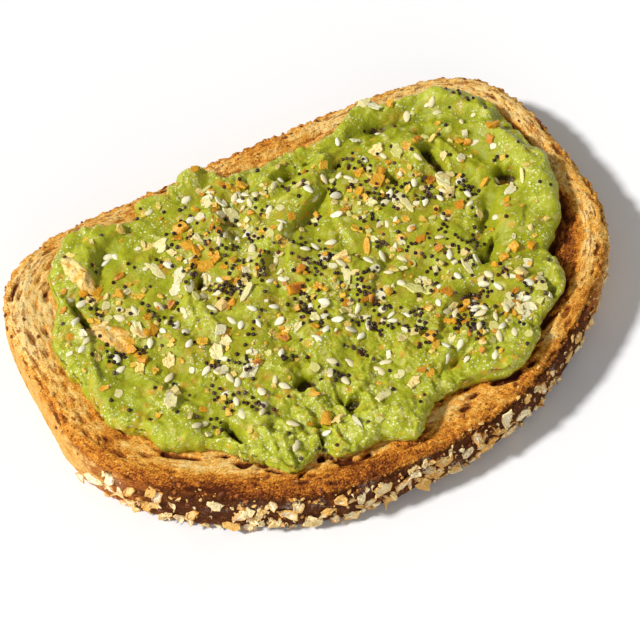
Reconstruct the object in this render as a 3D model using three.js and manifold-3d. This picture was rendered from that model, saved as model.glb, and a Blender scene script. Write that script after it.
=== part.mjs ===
// A slice of oat-crusted multigrain toast, spread with mashed avocado and sprinkled with seeds and flakes.
// Millimetres, +Z up. The origin is the middle of the slice's footprint, on the surface it lies on.
// +X runs along the loaf's width, +Y towards the flat crust from the bottom of the tin, and -Y towards the
// oat-covered dome.

import * as THREE from "three";
import { mergeVertices } from "three/addons/utils/BufferGeometryUtils.js";
import Module from "manifold-3d";

const wasm = await Module();
wasm.setup();

// ---------------------------------------------------------------- driving dimensions

const SLICE = {
  halfLength: 80.5,
  baseReach: 57.5, // from the widest line to the flat crust
  domeReach: 53.0, // from the widest line to the top of the dome
  widestAt: -2.15, // the widest line's place along Y
  baseSquareness: 5.0, // exponent of the superellipse on the flat side
  domeSquareness: 1.86,
  thickness: 17,
  // How far the crust stands off that even outline, at equal steps round the slice from +X.
  wobble: [0.65, -0.35, -0.24, -0.25, -1.55, 0.21, -0.16, 0.9, 1.95, 0.25, 0.54, -0.74],
  crestInset: 4.2, // the toasted rim's crest, in from the crust
  shoulderInset: 0.5, // where the rounding of the rim meets the crust wall
  shoulderDrop: 3, // from the crest down to that shoulder
  dish: 1.1, // how far the middle of the crumb lies below the crest
  dishEnd: 15, // inset where the crumb has levelled out
  heelInset: 0.5, // where the crust wall starts to round under
  heelHeight: 1.6,
  footInset: 1.8, // flat underside, in from the crust
  sectors: 84,
  middleShares: [0.3, 0.58, 0.8], // rings over the middle, as shares of the way to the outer ones
  faceInsets: [14, 10.5, 7.6, 5.6, 4.2, 2.8, 1.7, 0.9], // rings near the crust
  wallShares: [0.62, 0.32], // rings up the crust wall, as shares of the thickness
};

const CRUMB = {
  dentDepth: 0.55,
  dentLength: 15,
  pores: 11,
  poreLength: 4.6,
  poreWidth: 1.5,
  poreDepth: 1.1,
  poreInset: { least: 4.6, more: 2.6 }, // each value is least + up to more, by chance
  poreSize: { least: 0.7, more: 0.6 },
};

// Rolled oats on the dome's crust, between two angles, in rows one above another.
const OATS = {
  count: 50,
  from: 186,
  to: 352,
  rows: [4, 8.2, 12],
  length: 5.8,
  width: 3.9,
  thickness: 0.95,
  size: { least: 0.7, more: 0.5 },
  spacingStray: 0.7, // of a step along the crust
  heightStray: 2.2,
  lean: 0.5,
};

const MASH = {
  rim: 10.5, // bare toast between the mash and the crust
  depth: 5.6, // of the mash over the crumb
  crown: 1.1, // extra depth in the middle
  leastDepth: 0.9,
  gap: 0.3, // between the crumb and the mash
  edgeRound: 3.4, // how far in from its edge the mash has reached full depth
  edgeSquareness: 2.4, // exponent of the edge's rounding
  borderInset: 2.2, // of the grid over its upper side, from the edge
  cells: 30, // of the grid over its upper side, each way
  cornerAngle: 38, // degrees from X at which the grid's corners lie
};

// Tongues (out > 0) and bites (out < 0) of the mash's edge: degrees from +X, half-width in degrees, and
// millimetres. square is the exponent of the bump: 2 is rounded, 4 has a blunt end and steep sides.
const LOBES = [
  { at: 9, wide: 3.4, out: 1.8, square: 2 },
  { at: 349, wide: 9.6, out: -5.6, square: 3 },
  { at: 333, wide: 7.9, out: 2.0, square: 2 },
  { at: 310.5, wide: 10.4, out: 4.3, square: 4 },
  { at: 282, wide: 16, out: -2.5, square: 3 },
  { at: 268.5, wide: 7.1, out: 6.3, square: 2 },
  { at: 245, wide: 15.4, out: 1.7, square: 3 },
  { at: 237.5, wide: 4.6, out: -4.0, square: 2 },
  { at: 231, wide: 5.9, out: 3.1, square: 2 },
  { at: 208, wide: 8.2, out: -4.0, square: 2 },
  { at: 193, wide: 3.3, out: -3.0, square: 2 },
  { at: 168, wide: 6.5, out: 2.0, square: 4 },
  { at: 154, wide: 5.6, out: -4.1, square: 2 },
  { at: 137, wide: 3.9, out: 3.7, square: 2 },
  { at: 130, wide: 4.8, out: -2.5, square: 3 },
  { at: 122, wide: 3.7, out: 4.0, square: 4 },
  { at: 114.5, wide: 2.9, out: 5.1, square: 2 },
  { at: 107.3, wide: 4.9, out: 7.5, square: 4 },
  { at: 67, wide: 6.8, out: -1.8, square: 2 },
  { at: 55, wide: 4.0, out: 4.9, square: 2 },
];

// What the knife left in the mash: a ridge (rise > 0) or a furrow or pit (rise < 0) from one place to
// another. bow bends it to the left of its travel, steep narrows its right flank, and sharp makes its walls
// steeper.
const STROKES = [
  { name: "long_fold", from: [-14, 13.5], to: [17, 35.5], bow: -1.5, wide: 5.2, rise: 2.5, steep: 0.4 },
  { name: "fold_shadow", from: [0, 19.5], to: [14, 27.5], bow: -1, wide: 2.4, rise: -1.6 },
  { name: "torn_flap", from: [37, 20], to: [41, 29], wide: 4.2, rise: 1.9, steep: 0.45 },
  { name: "tear", from: [43.2, 27.5], to: [45.6, 19.5], bow: 0.6, wide: 2.1, rise: -4.6, sharp: 3 },
  { name: "tear_top", from: [41.4, 28], to: [46.4, 27.6], wide: 1.3, rise: -2.8, sharp: 3 },
  { name: "right_pit", from: [59, 11], to: [60.5, 8], wide: 2.9, rise: -4.8, sharp: 4 },
  { name: "right_pit_brow", from: [52, 12], to: [58, 15.5], wide: 3.0, rise: 1.2, steep: 0.7 },
  { name: "left_bowl_wall", from: [-57, 30], to: [-41, 42.5], bow: 3, wide: 3.8, rise: 2.5, steep: 0.55 },
  { name: "left_bowl", from: [-51, 31.5], to: [-42, 36], bow: 1.5, wide: 4.4, rise: -2.4, sharp: 3 },
  { name: "left_bank", from: [-66.5, 3], to: [-64.8, 30], bow: -1.2, wide: 5.2, rise: 2.3, steep: 0.35 },
  { name: "left_crevice", from: [-62.3, 17], to: [-62.6, 25], wide: 1.4, rise: -3.8, sharp: 3 },
  { name: "left_ridge", from: [-32.5, 2], to: [-33.5, 16], wide: 4.2, rise: 1.9, steep: 0.45 },
  { name: "left_valley", from: [-39.5, 12], to: [-38.5, 3], wide: 3.0, rise: -1.6 },
  { name: "dark_notch", from: [-29, 17.5], to: [-26, 14], wide: 1.7, rise: -2.0 },
  { name: "upper_ridge", from: [-17, 23], to: [-17.5, 36], wide: 4.0, rise: 1.6, steep: 0.45 },
  { name: "upper_valley", from: [-11.5, 38], to: [-12, 25], wide: 2.4, rise: -1.2 },
  { name: "back_tongue", from: [-20, 47], to: [-14.5, 49], wide: 3.4, rise: 1.2 },
  { name: "back_left_mound", from: [-55, 44], to: [-49, 45], wide: 3.6, rise: 0.9 },
  { name: "back_furrow", from: [3, 36.7], to: [10, 36], wide: 1.8, rise: -2.0 },
  { name: "back_ridge", from: [13, 36.5], to: [20, 37.5], wide: 2.0, rise: 1.0 },
  { name: "back_valley", from: [19, 39], to: [37, 40.5], bow: -1, wide: 2.4, rise: -1.5 },
  { name: "back_lip", from: [28, 44], to: [37, 46], wide: 3.2, rise: 1.0 },
  { name: "swirl_outer", from: [36, 41.5], to: [62, 30], bow: 3, wide: 2.2, rise: -1.6 },
  { name: "swirl_crest", from: [42, 45], to: [66, 30], bow: 4, wide: 2.6, rise: 0.9 },
  { name: "swirl_inner", from: [44.5, 33.5], to: [57, 16], bow: 3, wide: 2.0, rise: -1.4 },
  { name: "right_shoulder", from: [66.5, 10], to: [65, 35], wide: 3.2, rise: 1.0, steep: 0.6 },
  { name: "right_valley", from: [50, 3], to: [41.5, -11], bow: -1.5, wide: 3.8, rise: -3.0 },
  { name: "right_mound", from: [50, -3.5], to: [57, -7.5], wide: 5.2, rise: 1.6 },
  { name: "mound_step", from: [42, -14.8], to: [54, -15.8], wide: 1.6, rise: -1.1 },
  { name: "right_shelf", from: [40, -20.5], to: [53, -22], wide: 4.2, rise: 0.9 },
  { name: "front_right_furrow", from: [50.3, -22], to: [50.8, -29], wide: 1.7, rise: -1.9 },
  { name: "seeded_hollow", from: [27, -22], to: [33, -21], wide: 4.2, rise: -2.8, sharp: 3 },
  { name: "front_trough", from: [17, -36.3], to: [24, -35.8], wide: 1.7, rise: -2.0 },
  { name: "front_lip", from: [8, -35.5], to: [26, -32.8], bow: 1, wide: 2.2, rise: 0.9, steep: 0.7 },
  { name: "pit_brow", from: [-25, -19], to: [-15, -20.3], bow: 1, wide: 2.6, rise: 1.3, steep: 0.5 },
  { name: "front_left_pit", from: [-21, -22.7], to: [-17, -23.3], wide: 2.0, rise: -4.2, sharp: 4 },
  { name: "front_groove", from: [-17.5, -26], to: [-13.5, -32], wide: 1.7, rise: -1.3 },
  { name: "front_crack", from: [-13.2, -33.8], to: [-10, -33.6], wide: 1.6, rise: -3.8, sharp: 3 },
  { name: "crack_tail", from: [-8, -32.8], to: [-2, -33.2], wide: 1.5, rise: -1.4 },
  { name: "front_tongue", from: [-10, -42], to: [0, -44.5], wide: 4.6, rise: 1.0 },
  { name: "front_left_rift", from: [-42.5, -25.5], to: [-42, -32], wide: 1.5, rise: -3.0, sharp: 3 },
  { name: "front_left_mound", from: [-36, -29], to: [-33, -39], wide: 4.6, rise: 1.5 },
  { name: "lower_left_lip", from: [-60, -17], to: [-50, -23], wide: 3.6, rise: 1.2 },
  { name: "middle_dip", from: [-22, -3], to: [-30, -2], wide: 3.4, rise: -0.9 },
  { name: "brown_flake_dip", from: [-13, -1.5], to: [-8, -3.5], wide: 2.6, rise: -1.4 },
];

// Soft lumps between the strokes, each layer with its spacing and height. A creased one has rounded tops and
// narrow valleys. stretch lengthens its lumps along the way the knife ran, heading in degrees from +X.
const LUMPS = [
  { cell: 17, rise: 2.2, creased: false, stretch: 1.6, heading: 35, seed: 1 },
  { cell: 9.5, rise: 1.8, creased: true, stretch: 1.7, heading: 60, seed: 2 },
  { cell: 5.2, rise: 0.8, creased: true, stretch: 1.3, heading: 20, seed: 3 },
];
const WARP = { cell: 8, reach: 2.2, seeds: [8, 9] }; // how far the strokes stray from their paths

// Where the seasoning fell thickest: place and spread.
const HANDFULS = [
  { x: 28, y: -22, spread: 7 },
  { x: 38, y: 15, spread: 9 },
  { x: 24, y: 20, spread: 8 },
  { x: -24, y: 20, spread: 8 },
  { x: -6, y: 2, spread: 10 },
  { x: -32, y: -8, spread: 10 },
  { x: 12, y: -8, spread: 10 },
  { x: 44, y: -28, spread: 7 },
  { x: -12, y: 33, spread: 9 },
  { x: -56, y: 20, spread: 8 },
];

const SESAME = { count: 48, length: 3.4, width: 2.0, height: 1.15, seed: 7 };
const FLAKES = { count: 30, length: 4.3, width: 3.0, height: 1.1, seed: 5 };
const SCATTER = {
  inHandfuls: 0.55, // share of the pieces that fell in a handful
  farthest: 0.97, // share of a handful's bell curve that is used
  size: { least: 0.85, more: 0.3 },
  fromEdge: 1.2, // least space between a piece and the mash's edge
  apart: 0.25, // least space between one piece and the next
};

const FINEST_EDGE = 0.03; // shorter edges left by a join are closed up

// The largest dried flakes, each at its own place: [x, y, length, width, turn in degrees].
const BIG_FLAKE_HEIGHT = 1.3;
const BIG_FLAKES = [
  [-56.5, 36, 9.5, 4.4, 96],
  [-56, 27.5, 5.4, 4.2, 60],
  [-26, 19.5, 6.6, 4.4, -25],
  [-8.6, 2.2, 6.6, 4.2, -30],
  [27, 23.5, 5.2, 4.2, 40],
  [41, -31, 6.6, 5.2, 20],
  [36.5, 29.5, 6.2, 3.0, 75],
  [20, -12.5, 6.4, 4.4, -60],
  [9.5, -36.5, 4.4, 3.2, 75],
  [-20, -35.5, 4.8, 3.6, 55],
];

// ---------------------------------------------------------------- small maths

const TURN = 2 * Math.PI;
const toRadians = (degrees) => (degrees * Math.PI) / 180;
const smooth = (a, b, x) => {
  const t = Math.min(1, Math.max(0, (x - a) / (b - a)));
  return t * t * (3 - 2 * t);
};

/** A value from a range, for a random number from 0 to 1. */
const within = ({ least, more }, chance) => least + more * chance;

/** Repeatable random numbers from 0 to 1. */
function randomStream(seed) {
  let state = seed;
  return () => {
    state = (state * 1664525 + 1013904223) % 4294967296;
    return state / 4294967296;
  };
}

/** A repeatable value from 0 to 1 for a corner of a square grid. */
function cornerValue(i, j, seed) {
  const wave = 43758.5453 * Math.sin(127.1 * i + 311.7 * j + 74.7 * seed);
  return wave - Math.floor(wave);
}

/** Smooth noise from 0 to 1 with one value at each corner of a grid of unit squares. */
function noise(x, y, seed) {
  const [i, j] = [Math.floor(x), Math.floor(y)];
  const [u, v] = [smooth(0, 1, x - i), smooth(0, 1, y - j)];
  const low = cornerValue(i, j, seed) * (1 - u) + cornerValue(i + 1, j, seed) * u;
  const high = cornerValue(i, j + 1, seed) * (1 - u) + cornerValue(i + 1, j + 1, seed) * u;
  return low * (1 - v) + high * v;
}

/** A ring of equally spaced values, read at an angle with cosine steps between them. */
function readRing(values, angle) {
  const at = ((((angle % TURN) + TURN) % TURN) / TURN) * values.length;
  const i = Math.floor(at) % values.length;
  const w = (1 - Math.cos(Math.PI * (at - Math.floor(at)))) / 2;
  return values[i] * (1 - w) + values[(i + 1) % values.length] * w;
}

// ---------------------------------------------------------------- the slice's form

/** Distance from the middle of the widest line to the crust, at an angle. */
function crustReach(angle) {
  const flatSide = Math.sin(angle) > 0;
  const reach = flatSide ? SLICE.baseReach : SLICE.domeReach;
  const n = flatSide ? SLICE.baseSquareness : SLICE.domeSquareness;
  const across = Math.abs(Math.cos(angle) / SLICE.halfLength) ** n;
  const along = Math.abs(Math.sin(angle) / reach) ** n;
  return (across + along) ** (-1 / n) + readRing(SLICE.wobble, angle);
}

/** Angle and distance of a place, seen from the middle of the widest line. */
const polar = (x, y) => ({
  angle: Math.atan2(y - SLICE.widestAt, x),
  radius: Math.hypot(x, y - SLICE.widestAt),
});

/** A point at an angle and a distance from the middle of the widest line. */
const pointAt = (angle, radius, z) =>
  new THREE.Vector3(radius * Math.cos(angle), SLICE.widestAt + radius * Math.sin(angle), z);

/** Height of the toasted face, at a distance in from the crust. */
function faceHeight(inset) {
  const { thickness, crestInset, shoulderInset, shoulderDrop, dish, dishEnd } = SLICE;
  if (inset >= crestInset) return thickness - dish * smooth(crestInset, dishEnd, inset);
  const t = Math.min(1, (crestInset - inset) / (crestInset - shoulderInset));
  return thickness - shoulderDrop * (1 - Math.sqrt(1 - t * t));
}

/** Shallow dents of the toasted face: never above it, so that the mash stays clear. */
function crumbDent(x, y) {
  const k = TURN / CRUMB.dentLength;
  const fine = 0.6; // share of the finer waves that cross the long ones
  const long = Math.sin(k * x + 1.3 * Math.sin(k * 0.7 * y)) * Math.cos(k * 0.9 * y + 0.8);
  const wave = long + fine * Math.sin(2.3 * k * (x - y));
  return (CRUMB.dentDepth * (wave - 1 - fine)) / (2 + 2 * fine);
}

// ---------------------------------------------------------------- solids from rings

/** A closed geometry from rings of equal count, each outside or below the last, with a pole at each end. */
function geometryOfRings(firstPole, rings, lastPole) {
  const n = rings[0].length;
  const positions = [firstPole, ...rings.flat(), lastPole].flatMap((p) => [p.x, p.y, p.z]);
  const index = [];
  const at = (ring, j) => 1 + ring * n + (j % n);
  const last = 1 + rings.length * n;
  for (let j = 0; j < n; j++) {
    index.push(0, at(0, j), at(0, j + 1));
    for (let r = 0; r + 1 < rings.length; r++) {
      index.push(at(r, j), at(r + 1, j), at(r + 1, j + 1));
      index.push(at(r, j), at(r + 1, j + 1), at(r, j + 1));
    }
    index.push(last, at(rings.length - 1, j + 1), at(rings.length - 1, j));
  }
  return new THREE.BufferGeometry()
    .setAttribute("position", new THREE.Float32BufferAttribute(positions, 3))
    .setIndex(index);
}

/** A closed geometry as a manifold-3d solid. */
function solidOf(geometry) {
  const bare = geometry.index ? geometry.clone() : mergeVertices(geometry, 1e-4);
  bare.deleteAttribute("normal");
  bare.deleteAttribute("uv");
  const merged = mergeVertices(bare, 1e-4);
  return new wasm.Manifold(
    new wasm.Mesh({
      numProp: 3,
      vertProperties: merged.attributes.position.array,
      triVerts: new Uint32Array(merged.index.array),
    }),
  );
}

/** The largest body of a manifold-3d solid, as a three.js geometry: loose scraps are dropped. */
function geometryOf(solid) {
  const bodies = solid.simplify(FINEST_EDGE).decompose().sort((a, b) => b.volume() - a.volume());
  const mesh = bodies[0].getMesh();
  return new THREE.BufferGeometry()
    .setAttribute("position", new THREE.BufferAttribute(new Float32Array(mesh.vertProperties), 3))
    .setIndex(new THREE.BufferAttribute(new Uint32Array(mesh.triVerts), 1));
}

/** Puts a small piece in its place: at a point, its flat side along a normal, turned about it. */
function place(geometry, point, normal, turn) {
  const upright = new THREE.Quaternion().setFromUnitVectors(new THREE.Vector3(0, 0, 1), normal);
  const spin = new THREE.Quaternion().setFromAxisAngle(new THREE.Vector3(0, 0, 1), turn);
  return geometry.applyMatrix4(
    new THREE.Matrix4().compose(point, upright.multiply(spin), new THREE.Vector3(1, 1, 1)),
  );
}

// ---------------------------------------------------------------- small pieces

/** A teardrop seed lying along X, its middle at the origin. */
function seedGeometry({ length, width, height }, size) {
  const sides = 5;
  const stations = [
    { along: 0.3, girth: 0.86 },
    { along: -0.05, girth: 1.0 },
    { along: -0.34, girth: 0.6 },
  ];
  const ring = ({ along, girth }) =>
    Array.from({ length: sides }, (_, j) => {
      const a = (j / sides) * TURN;
      return new THREE.Vector3(
        along * length * size,
        (girth * width * size * Math.cos(a)) / 2,
        (girth * height * Math.sin(a)) / 2,
      );
    });
  const tip = (along) => new THREE.Vector3(along * length * size, 0, 0);
  return geometryOfRings(tip(0.5), stations.map(ring), tip(-0.5));
}

/** An uneven oval flake lying flat, its middle at the origin, domed by a quarter of its thickness. */
function flakeGeometry({ length, width, height }, random) {
  const sides = 6;
  const unevenness = { least: 0.82, more: 0.36 };
  const uneven = Array.from({ length: sides }, () => within(unevenness, random()));
  const ring = (z) =>
    Array.from({ length: sides }, (_, j) => {
      const a = (j / sides) * TURN;
      return new THREE.Vector3(
        (uneven[j] * length * Math.cos(a)) / 2,
        (uneven[j] * width * Math.sin(a)) / 2,
        z,
      );
    });
  const pole = (z) => new THREE.Vector3(0, 0, z);
  return geometryOfRings(pole(height / 2), [ring(height / 4), ring(-height / 2)], pole(-height / 2));
}

// ---------------------------------------------------------------- the toast

/** The slice with its open pores and the oats fused to its crust. */
function toastSlice() {
  const { thickness, shoulderInset, heelInset, heelHeight, footInset, sectors } = SLICE;
  const { middleShares, faceInsets, wallShares } = SLICE;
  const stations = [
    ...middleShares.map((share) => ({ share })),
    ...[...faceInsets, shoulderInset].map((inset) => ({ inset })),
    ...wallShares.map((share) => ({ inset: 0, z: thickness * share })),
    { inset: heelInset, z: heelHeight },
    { inset: footInset, z: 0 },
  ];
  const ring = ({ share, inset, z }) =>
    Array.from({ length: sectors }, (_, j) => {
      const angle = (j / sectors) * TURN;
      const reach = crustReach(angle);
      const radius = share === undefined ? reach - inset : share * (reach - faceInsets[0]);
      const point = pointAt(angle, radius, 0);
      point.z = z ?? faceHeight(reach - radius) + crumbDent(point.x, point.y);
      return point;
    });
  const middle = new THREE.Vector3(0, SLICE.widestAt, 0);
  const top = middle.clone().setZ(faceHeight(SLICE.domeReach) + crumbDent(0, SLICE.widestAt));
  return geometryOf(
    solidOf(geometryOfRings(top, stations.map(ring), middle))
      .subtract(wasm.Manifold.union(poresOfRim()))
      .add(wasm.Manifold.union(oatsOfCrust())),
  );
}

/** Open pores of the toasted rim: long pits that run along the crust. */
function poresOfRim() {
  const random = randomStream(3);
  return Array.from({ length: CRUMB.pores }, (_, i) => {
    const angle = ((i + 0.8 * random()) / CRUMB.pores) * TURN;
    const inset = within(CRUMB.poreInset, random());
    const radius = crustReach(angle) - inset;
    const size = within(CRUMB.poreSize, random());
    const pit = new THREE.SphereGeometry(0.5, 6, 4).scale(
      CRUMB.poreLength * size,
      CRUMB.poreWidth * size,
      2 * CRUMB.poreDepth * size,
    );
    const point = pointAt(angle, radius, faceHeight(inset));
    return solidOf(place(pit, point, new THREE.Vector3(0, 0, 1), crustHeading(angle)));
  });
}

/** Direction in which the crust runs at an angle. */
function crustHeading(angle) {
  const step = 0.01;
  const run = pointAt(angle + step, crustReach(angle + step), 0).sub(
    pointAt(angle - step, crustReach(angle - step), 0),
  );
  return Math.atan2(run.y, run.x);
}

/** Rolled oats baked onto the dome's crust, lying against it at odd angles. */
function oatsOfCrust() {
  const random = randomStream(21);
  return Array.from({ length: OATS.count }, (_, i) => {
    const step = (i + 0.5 + OATS.spacingStray * (random() - 0.5)) / OATS.count;
    const angle = toRadians(OATS.from + (OATS.to - OATS.from) * step);
    const z = OATS.rows[i % OATS.rows.length] + OATS.heightStray * (random() - 0.5);
    const size = within(OATS.size, random());
    const heading = crustHeading(angle);
    const lean = OATS.lean * (random() - 0.5);
    const outward = new THREE.Vector3(Math.sin(heading), -Math.cos(heading), lean).normalize();
    const flake = flakeGeometry(
      { length: OATS.length * size, width: OATS.width * size, height: OATS.thickness },
      random,
    );
    const point = pointAt(angle, crustReach(angle) + OATS.thickness / 8, z);
    return solidOf(place(flake, point, outward, random() * TURN));
  });
}

// ---------------------------------------------------------------- the mash

/** Distance from the middle of the widest line to the edge of the mash, at an angle. */
function mashReach(angle) {
  const degrees = (angle * 180) / Math.PI;
  const lobes = LOBES.reduce((sum, { at, wide, out, square }) => {
    const off = ((((degrees - at + 180) % 360) + 360) % 360) - 180;
    return sum + out * Math.exp(-(Math.abs(off / wide) ** square));
  }, 0);
  return crustReach(angle) - MASH.rim + lobes;
}

/** Points along a stroke, bowed to its left. */
function strokePath({ from, to, bow = 0 }, pieces = 6) {
  const [dx, dy] = [to[0] - from[0], to[1] - from[1]];
  const length = Math.hypot(dx, dy);
  return Array.from({ length: pieces + 1 }, (_, i) => {
    const t = i / pieces;
    const side = (bow * 4 * t * (1 - t)) / length;
    return [from[0] + dx * t - dy * side, from[1] + dy * t + dx * side];
  });
}

const PATHS = STROKES.map((stroke) => strokePath(stroke));

/** What one stroke adds to the mash's depth at a place. It swells towards the middle of its run. */
function strokeRise({ wide, rise, steep = 1, sharp = 2 }, path, x, y) {
  let nearest = { distance: Infinity };
  for (let i = 0; i + 1 < path.length; i++) {
    const [ax, ay] = path[i];
    const [bx, by] = [path[i + 1][0] - ax, path[i + 1][1] - ay];
    const t = Math.min(1, Math.max(0, ((x - ax) * bx + (y - ay) * by) / (bx * bx + by * by)));
    const [ox, oy] = [x - ax - bx * t, y - ay - by * t];
    const distance = Math.hypot(ox, oy);
    if (distance >= nearest.distance) continue;
    const left = (bx * oy - by * ox) / (Math.hypot(bx, by) * Math.max(distance, 1e-6));
    nearest = { distance, left, along: (i + t) / (path.length - 1) };
  }
  const swell = 0.65 + 0.35 * Math.sin(Math.PI * nearest.along);
  const flank = 1 + (steep - 1) * (0.5 - 0.5 * nearest.left);
  return rise * Math.exp(-((nearest.distance / (wide * swell * flank)) ** sharp));
}

/** What one layer of lumps adds to the mash's depth at a place. */
function lumpRise({ cell, rise, creased, stretch, heading, seed }, x, y) {
  const turn = toRadians(heading);
  const along = (x * Math.cos(turn) + y * Math.sin(turn)) / (cell * stretch);
  const across = (y * Math.cos(turn) - x * Math.sin(turn)) / cell;
  const level = noise(along, across, seed);
  return rise * (creased ? Math.abs(2 * level - 1) - 0.4 : level - 0.5);
}

/** Depth of the mash over the crumb, away from its edge. */
function mashDepth(x, y) {
  const { angle, radius } = polar(x, y);
  const share = Math.min(1, radius / mashReach(angle));
  const stray = (seed) => WARP.reach * (noise(x / WARP.cell, y / WARP.cell, seed) - 0.5);
  const [sx, sy] = [x + stray(WARP.seeds[0]), y + stray(WARP.seeds[1])];
  const strokes = STROKES.reduce((sum, stroke, i) => sum + strokeRise(stroke, PATHS[i], sx, sy), 0);
  const lumps = LUMPS.reduce((sum, layer) => sum + lumpRise(layer, x, y), 0);
  return Math.max(MASH.leastDepth, MASH.depth + MASH.crown * (1 - share * share) + strokes + lumps);
}

/** Height of the crumb under a place, without its dents. */
function crumbHeight(x, y) {
  const { angle, radius } = polar(x, y);
  return faceHeight(crustReach(angle) - radius);
}

/** Height of the mash's upper surface. */
function mashTop(x, y) {
  const { angle, radius } = polar(x, y);
  const inset = Math.max(0, mashReach(angle) - radius);
  const u = Math.min(1, inset / MASH.edgeRound);
  const rounding = (1 - (1 - u) ** MASH.edgeSquareness) ** (1 / MASH.edgeSquareness);
  return crumbHeight(x, y) + mashDepth(x, y) * (0.5 + 0.5 * rounding);
}

/** Angle and share of the reach of a place on a square grid, whose corners lie at MASH.cornerAngle. */
function gridPlace(u, v) {
  const corner = toRadians(MASH.cornerAngle);
  const share = Math.max(Math.abs(u), Math.abs(v));
  if (share === 0) return { angle: 0, share };
  const side = Math.abs(u) >= Math.abs(v);
  const angle = side ? (corner * v) / Math.abs(u) : Math.PI / 2 - ((Math.PI / 2 - corner) * u) / Math.abs(v);
  if (side) return { angle: u > 0 ? angle : Math.PI - angle, share };
  return { angle: v > 0 ? angle : -angle, share };
}

/** The bare mash: a grid over its upper side, rings round its bulging edge, and a flat underside. */
function mashCore() {
  const { cells, gap, borderInset } = MASH;
  const points = [];
  const index = [];
  const at = (i, j) => i * (cells + 1) + j;
  for (let i = 0; i <= cells; i++) {
    for (let j = 0; j <= cells; j++) {
      const { angle, share } = gridPlace((2 * j) / cells - 1, (2 * i) / cells - 1);
      const point = pointAt(angle, share * (mashReach(angle) - borderInset), 0);
      points.push(point.setZ(mashTop(point.x, point.y)));
      if (i === cells || j === cells) continue;
      // The diagonal runs towards the middle, so that both halves of a cell follow the rings alike.
      const mirrored = i < cells / 2 === j < cells / 2;
      const [a, b, c, d] = [at(i, j), at(i, j + 1), at(i + 1, j + 1), at(i + 1, j)];
      index.push(...(mirrored ? [a, b, c, a, c, d] : [a, b, d, b, c, d]));
    }
  }

  // Round the edge, from the grid's border down and back under.
  const steps = Array.from({ length: cells }, (_, k) => k);
  const border = [
    ...steps.map((k) => at(k, cells)),
    ...steps.map((k) => at(cells, cells - k)),
    ...steps.map((k) => at(cells - k, 0)),
    ...steps.map((k) => at(0, k)),
  ];
  const edge = [
    { inset: 1.1 },
    { inset: 0.4 },
    { inset: 0, lift: 0.5 },
    { inset: 0.25, lift: 0.24 },
    { inset: 1.0, lift: 0 },
    { inset: 7.0, lift: 0 },
  ];
  const angles = border.map((k) => polar(points[k].x, points[k].y).angle);
  const rings = edge.map(({ inset, lift }) =>
    angles.map((angle) => {
      const point = pointAt(angle, mashReach(angle) - inset, 0);
      const floor = crumbHeight(point.x, point.y);
      if (lift === undefined) point.z = mashTop(point.x, point.y);
      else point.z = floor + Math.max(gap, lift * mashDepth(point.x, point.y));
      return points.push(point) - 1;
    }),
  );
  [border, ...rings].slice(1).forEach((outer, r) => {
    const inner = r === 0 ? border : rings[r - 1];
    inner.forEach((_, k) => {
      const next = (k + 1) % inner.length;
      index.push(inner[k], outer[k], outer[next], inner[k], outer[next], inner[next]);
    });
  });
  const last = rings.at(-1);
  const under = points.push(pointAt(0, 0, crumbHeight(0, SLICE.widestAt) + gap)) - 1;
  last.forEach((k, i) => index.push(under, last[(i + 1) % last.length], k));

  const positions = points.flatMap(({ x, y, z }) => [x, y, z]);
  return new THREE.BufferGeometry()
    .setAttribute("position", new THREE.Float32BufferAttribute(positions, 3))
    .setIndex(index);
}

/** The mash with the largest of its seasoning fused to it. */
function avocadoMash() {
  const core = mashCore();
  return geometryOf(solidOf(core).add(wasm.Manifold.union(seasoning(core))));
}

// ---------------------------------------------------------------- the seasoning

/** Free places on the mash: near a handful or anywhere, clear of the edge and of the places taken. */
function scatter({ count, seed, length }, taken) {
  const random = randomStream(seed);
  const places = [];
  while (places.length < count) {
    const handful = HANDFULS[Math.floor(random() * HANDFULS.length)];
    const near = random() < SCATTER.inHandfuls;
    const [u, v] = [random(), random()];
    const far = handful.spread * Math.sqrt(-2 * Math.log(1 - SCATTER.farthest * u));
    const x = near ? handful.x + far * Math.cos(TURN * v) : (2 * u - 1) * SLICE.halfLength;
    const y = near ? handful.y + far * Math.sin(TURN * v) : (2 * v - 1) * SLICE.baseReach;
    const { angle, radius } = polar(x, y);
    const size = within(SCATTER.size, random());
    const spot = { x, y, size, reach: (length * size) / 2, turn: random() * TURN };
    const apart = spot.reach + SCATTER.apart;
    if (mashReach(angle) - radius < spot.reach + SCATTER.fromEdge) continue;
    if (taken.some((p) => Math.hypot(p.x - x, p.y - y) < p.reach + apart)) continue;
    places.push(spot);
    taken.push(spot);
  }
  return places;
}

/** A small piece laid on the core where it stands highest, its middle a little above the surface. */
function setOnCore(core, piece, { x, y, turn }, lift) {
  const ray = new THREE.Raycaster(new THREE.Vector3(x, y, 100), new THREE.Vector3(0, 0, -1));
  const { point, face } = ray.intersectObject(core)[0];
  return solidOf(place(piece, point.addScaledVector(face.normal, lift), face.normal, turn));
}

/** The largest of the dried flakes and seeds, as solids sunk into the core. */
function seasoning(coreGeometry) {
  const random = randomStream(11);
  const core = new THREE.Mesh(coreGeometry);
  const flake = (spot, length, width, height) =>
    setOnCore(core, flakeGeometry({ length, width, height }, random), spot, height / 8);
  const named = BIG_FLAKES.map(([x, y, length, width, turn]) => ({
    x, y, length, width, turn: toRadians(turn), reach: length / 2,
  }));
  const taken = [...named];
  const big = named.map((spot) => flake(spot, spot.length, spot.width, BIG_FLAKE_HEIGHT));
  const flakes = scatter(FLAKES, taken).map((spot) =>
    flake(spot, FLAKES.length * spot.size, FLAKES.width * spot.size, FLAKES.height),
  );
  const seeds = scatter(SESAME, taken).map((spot) =>
    setOnCore(core, seedGeometry(SESAME, spot.size), spot, SESAME.height / 8),
  );
  return [...big, ...flakes, ...seeds];
}

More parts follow.
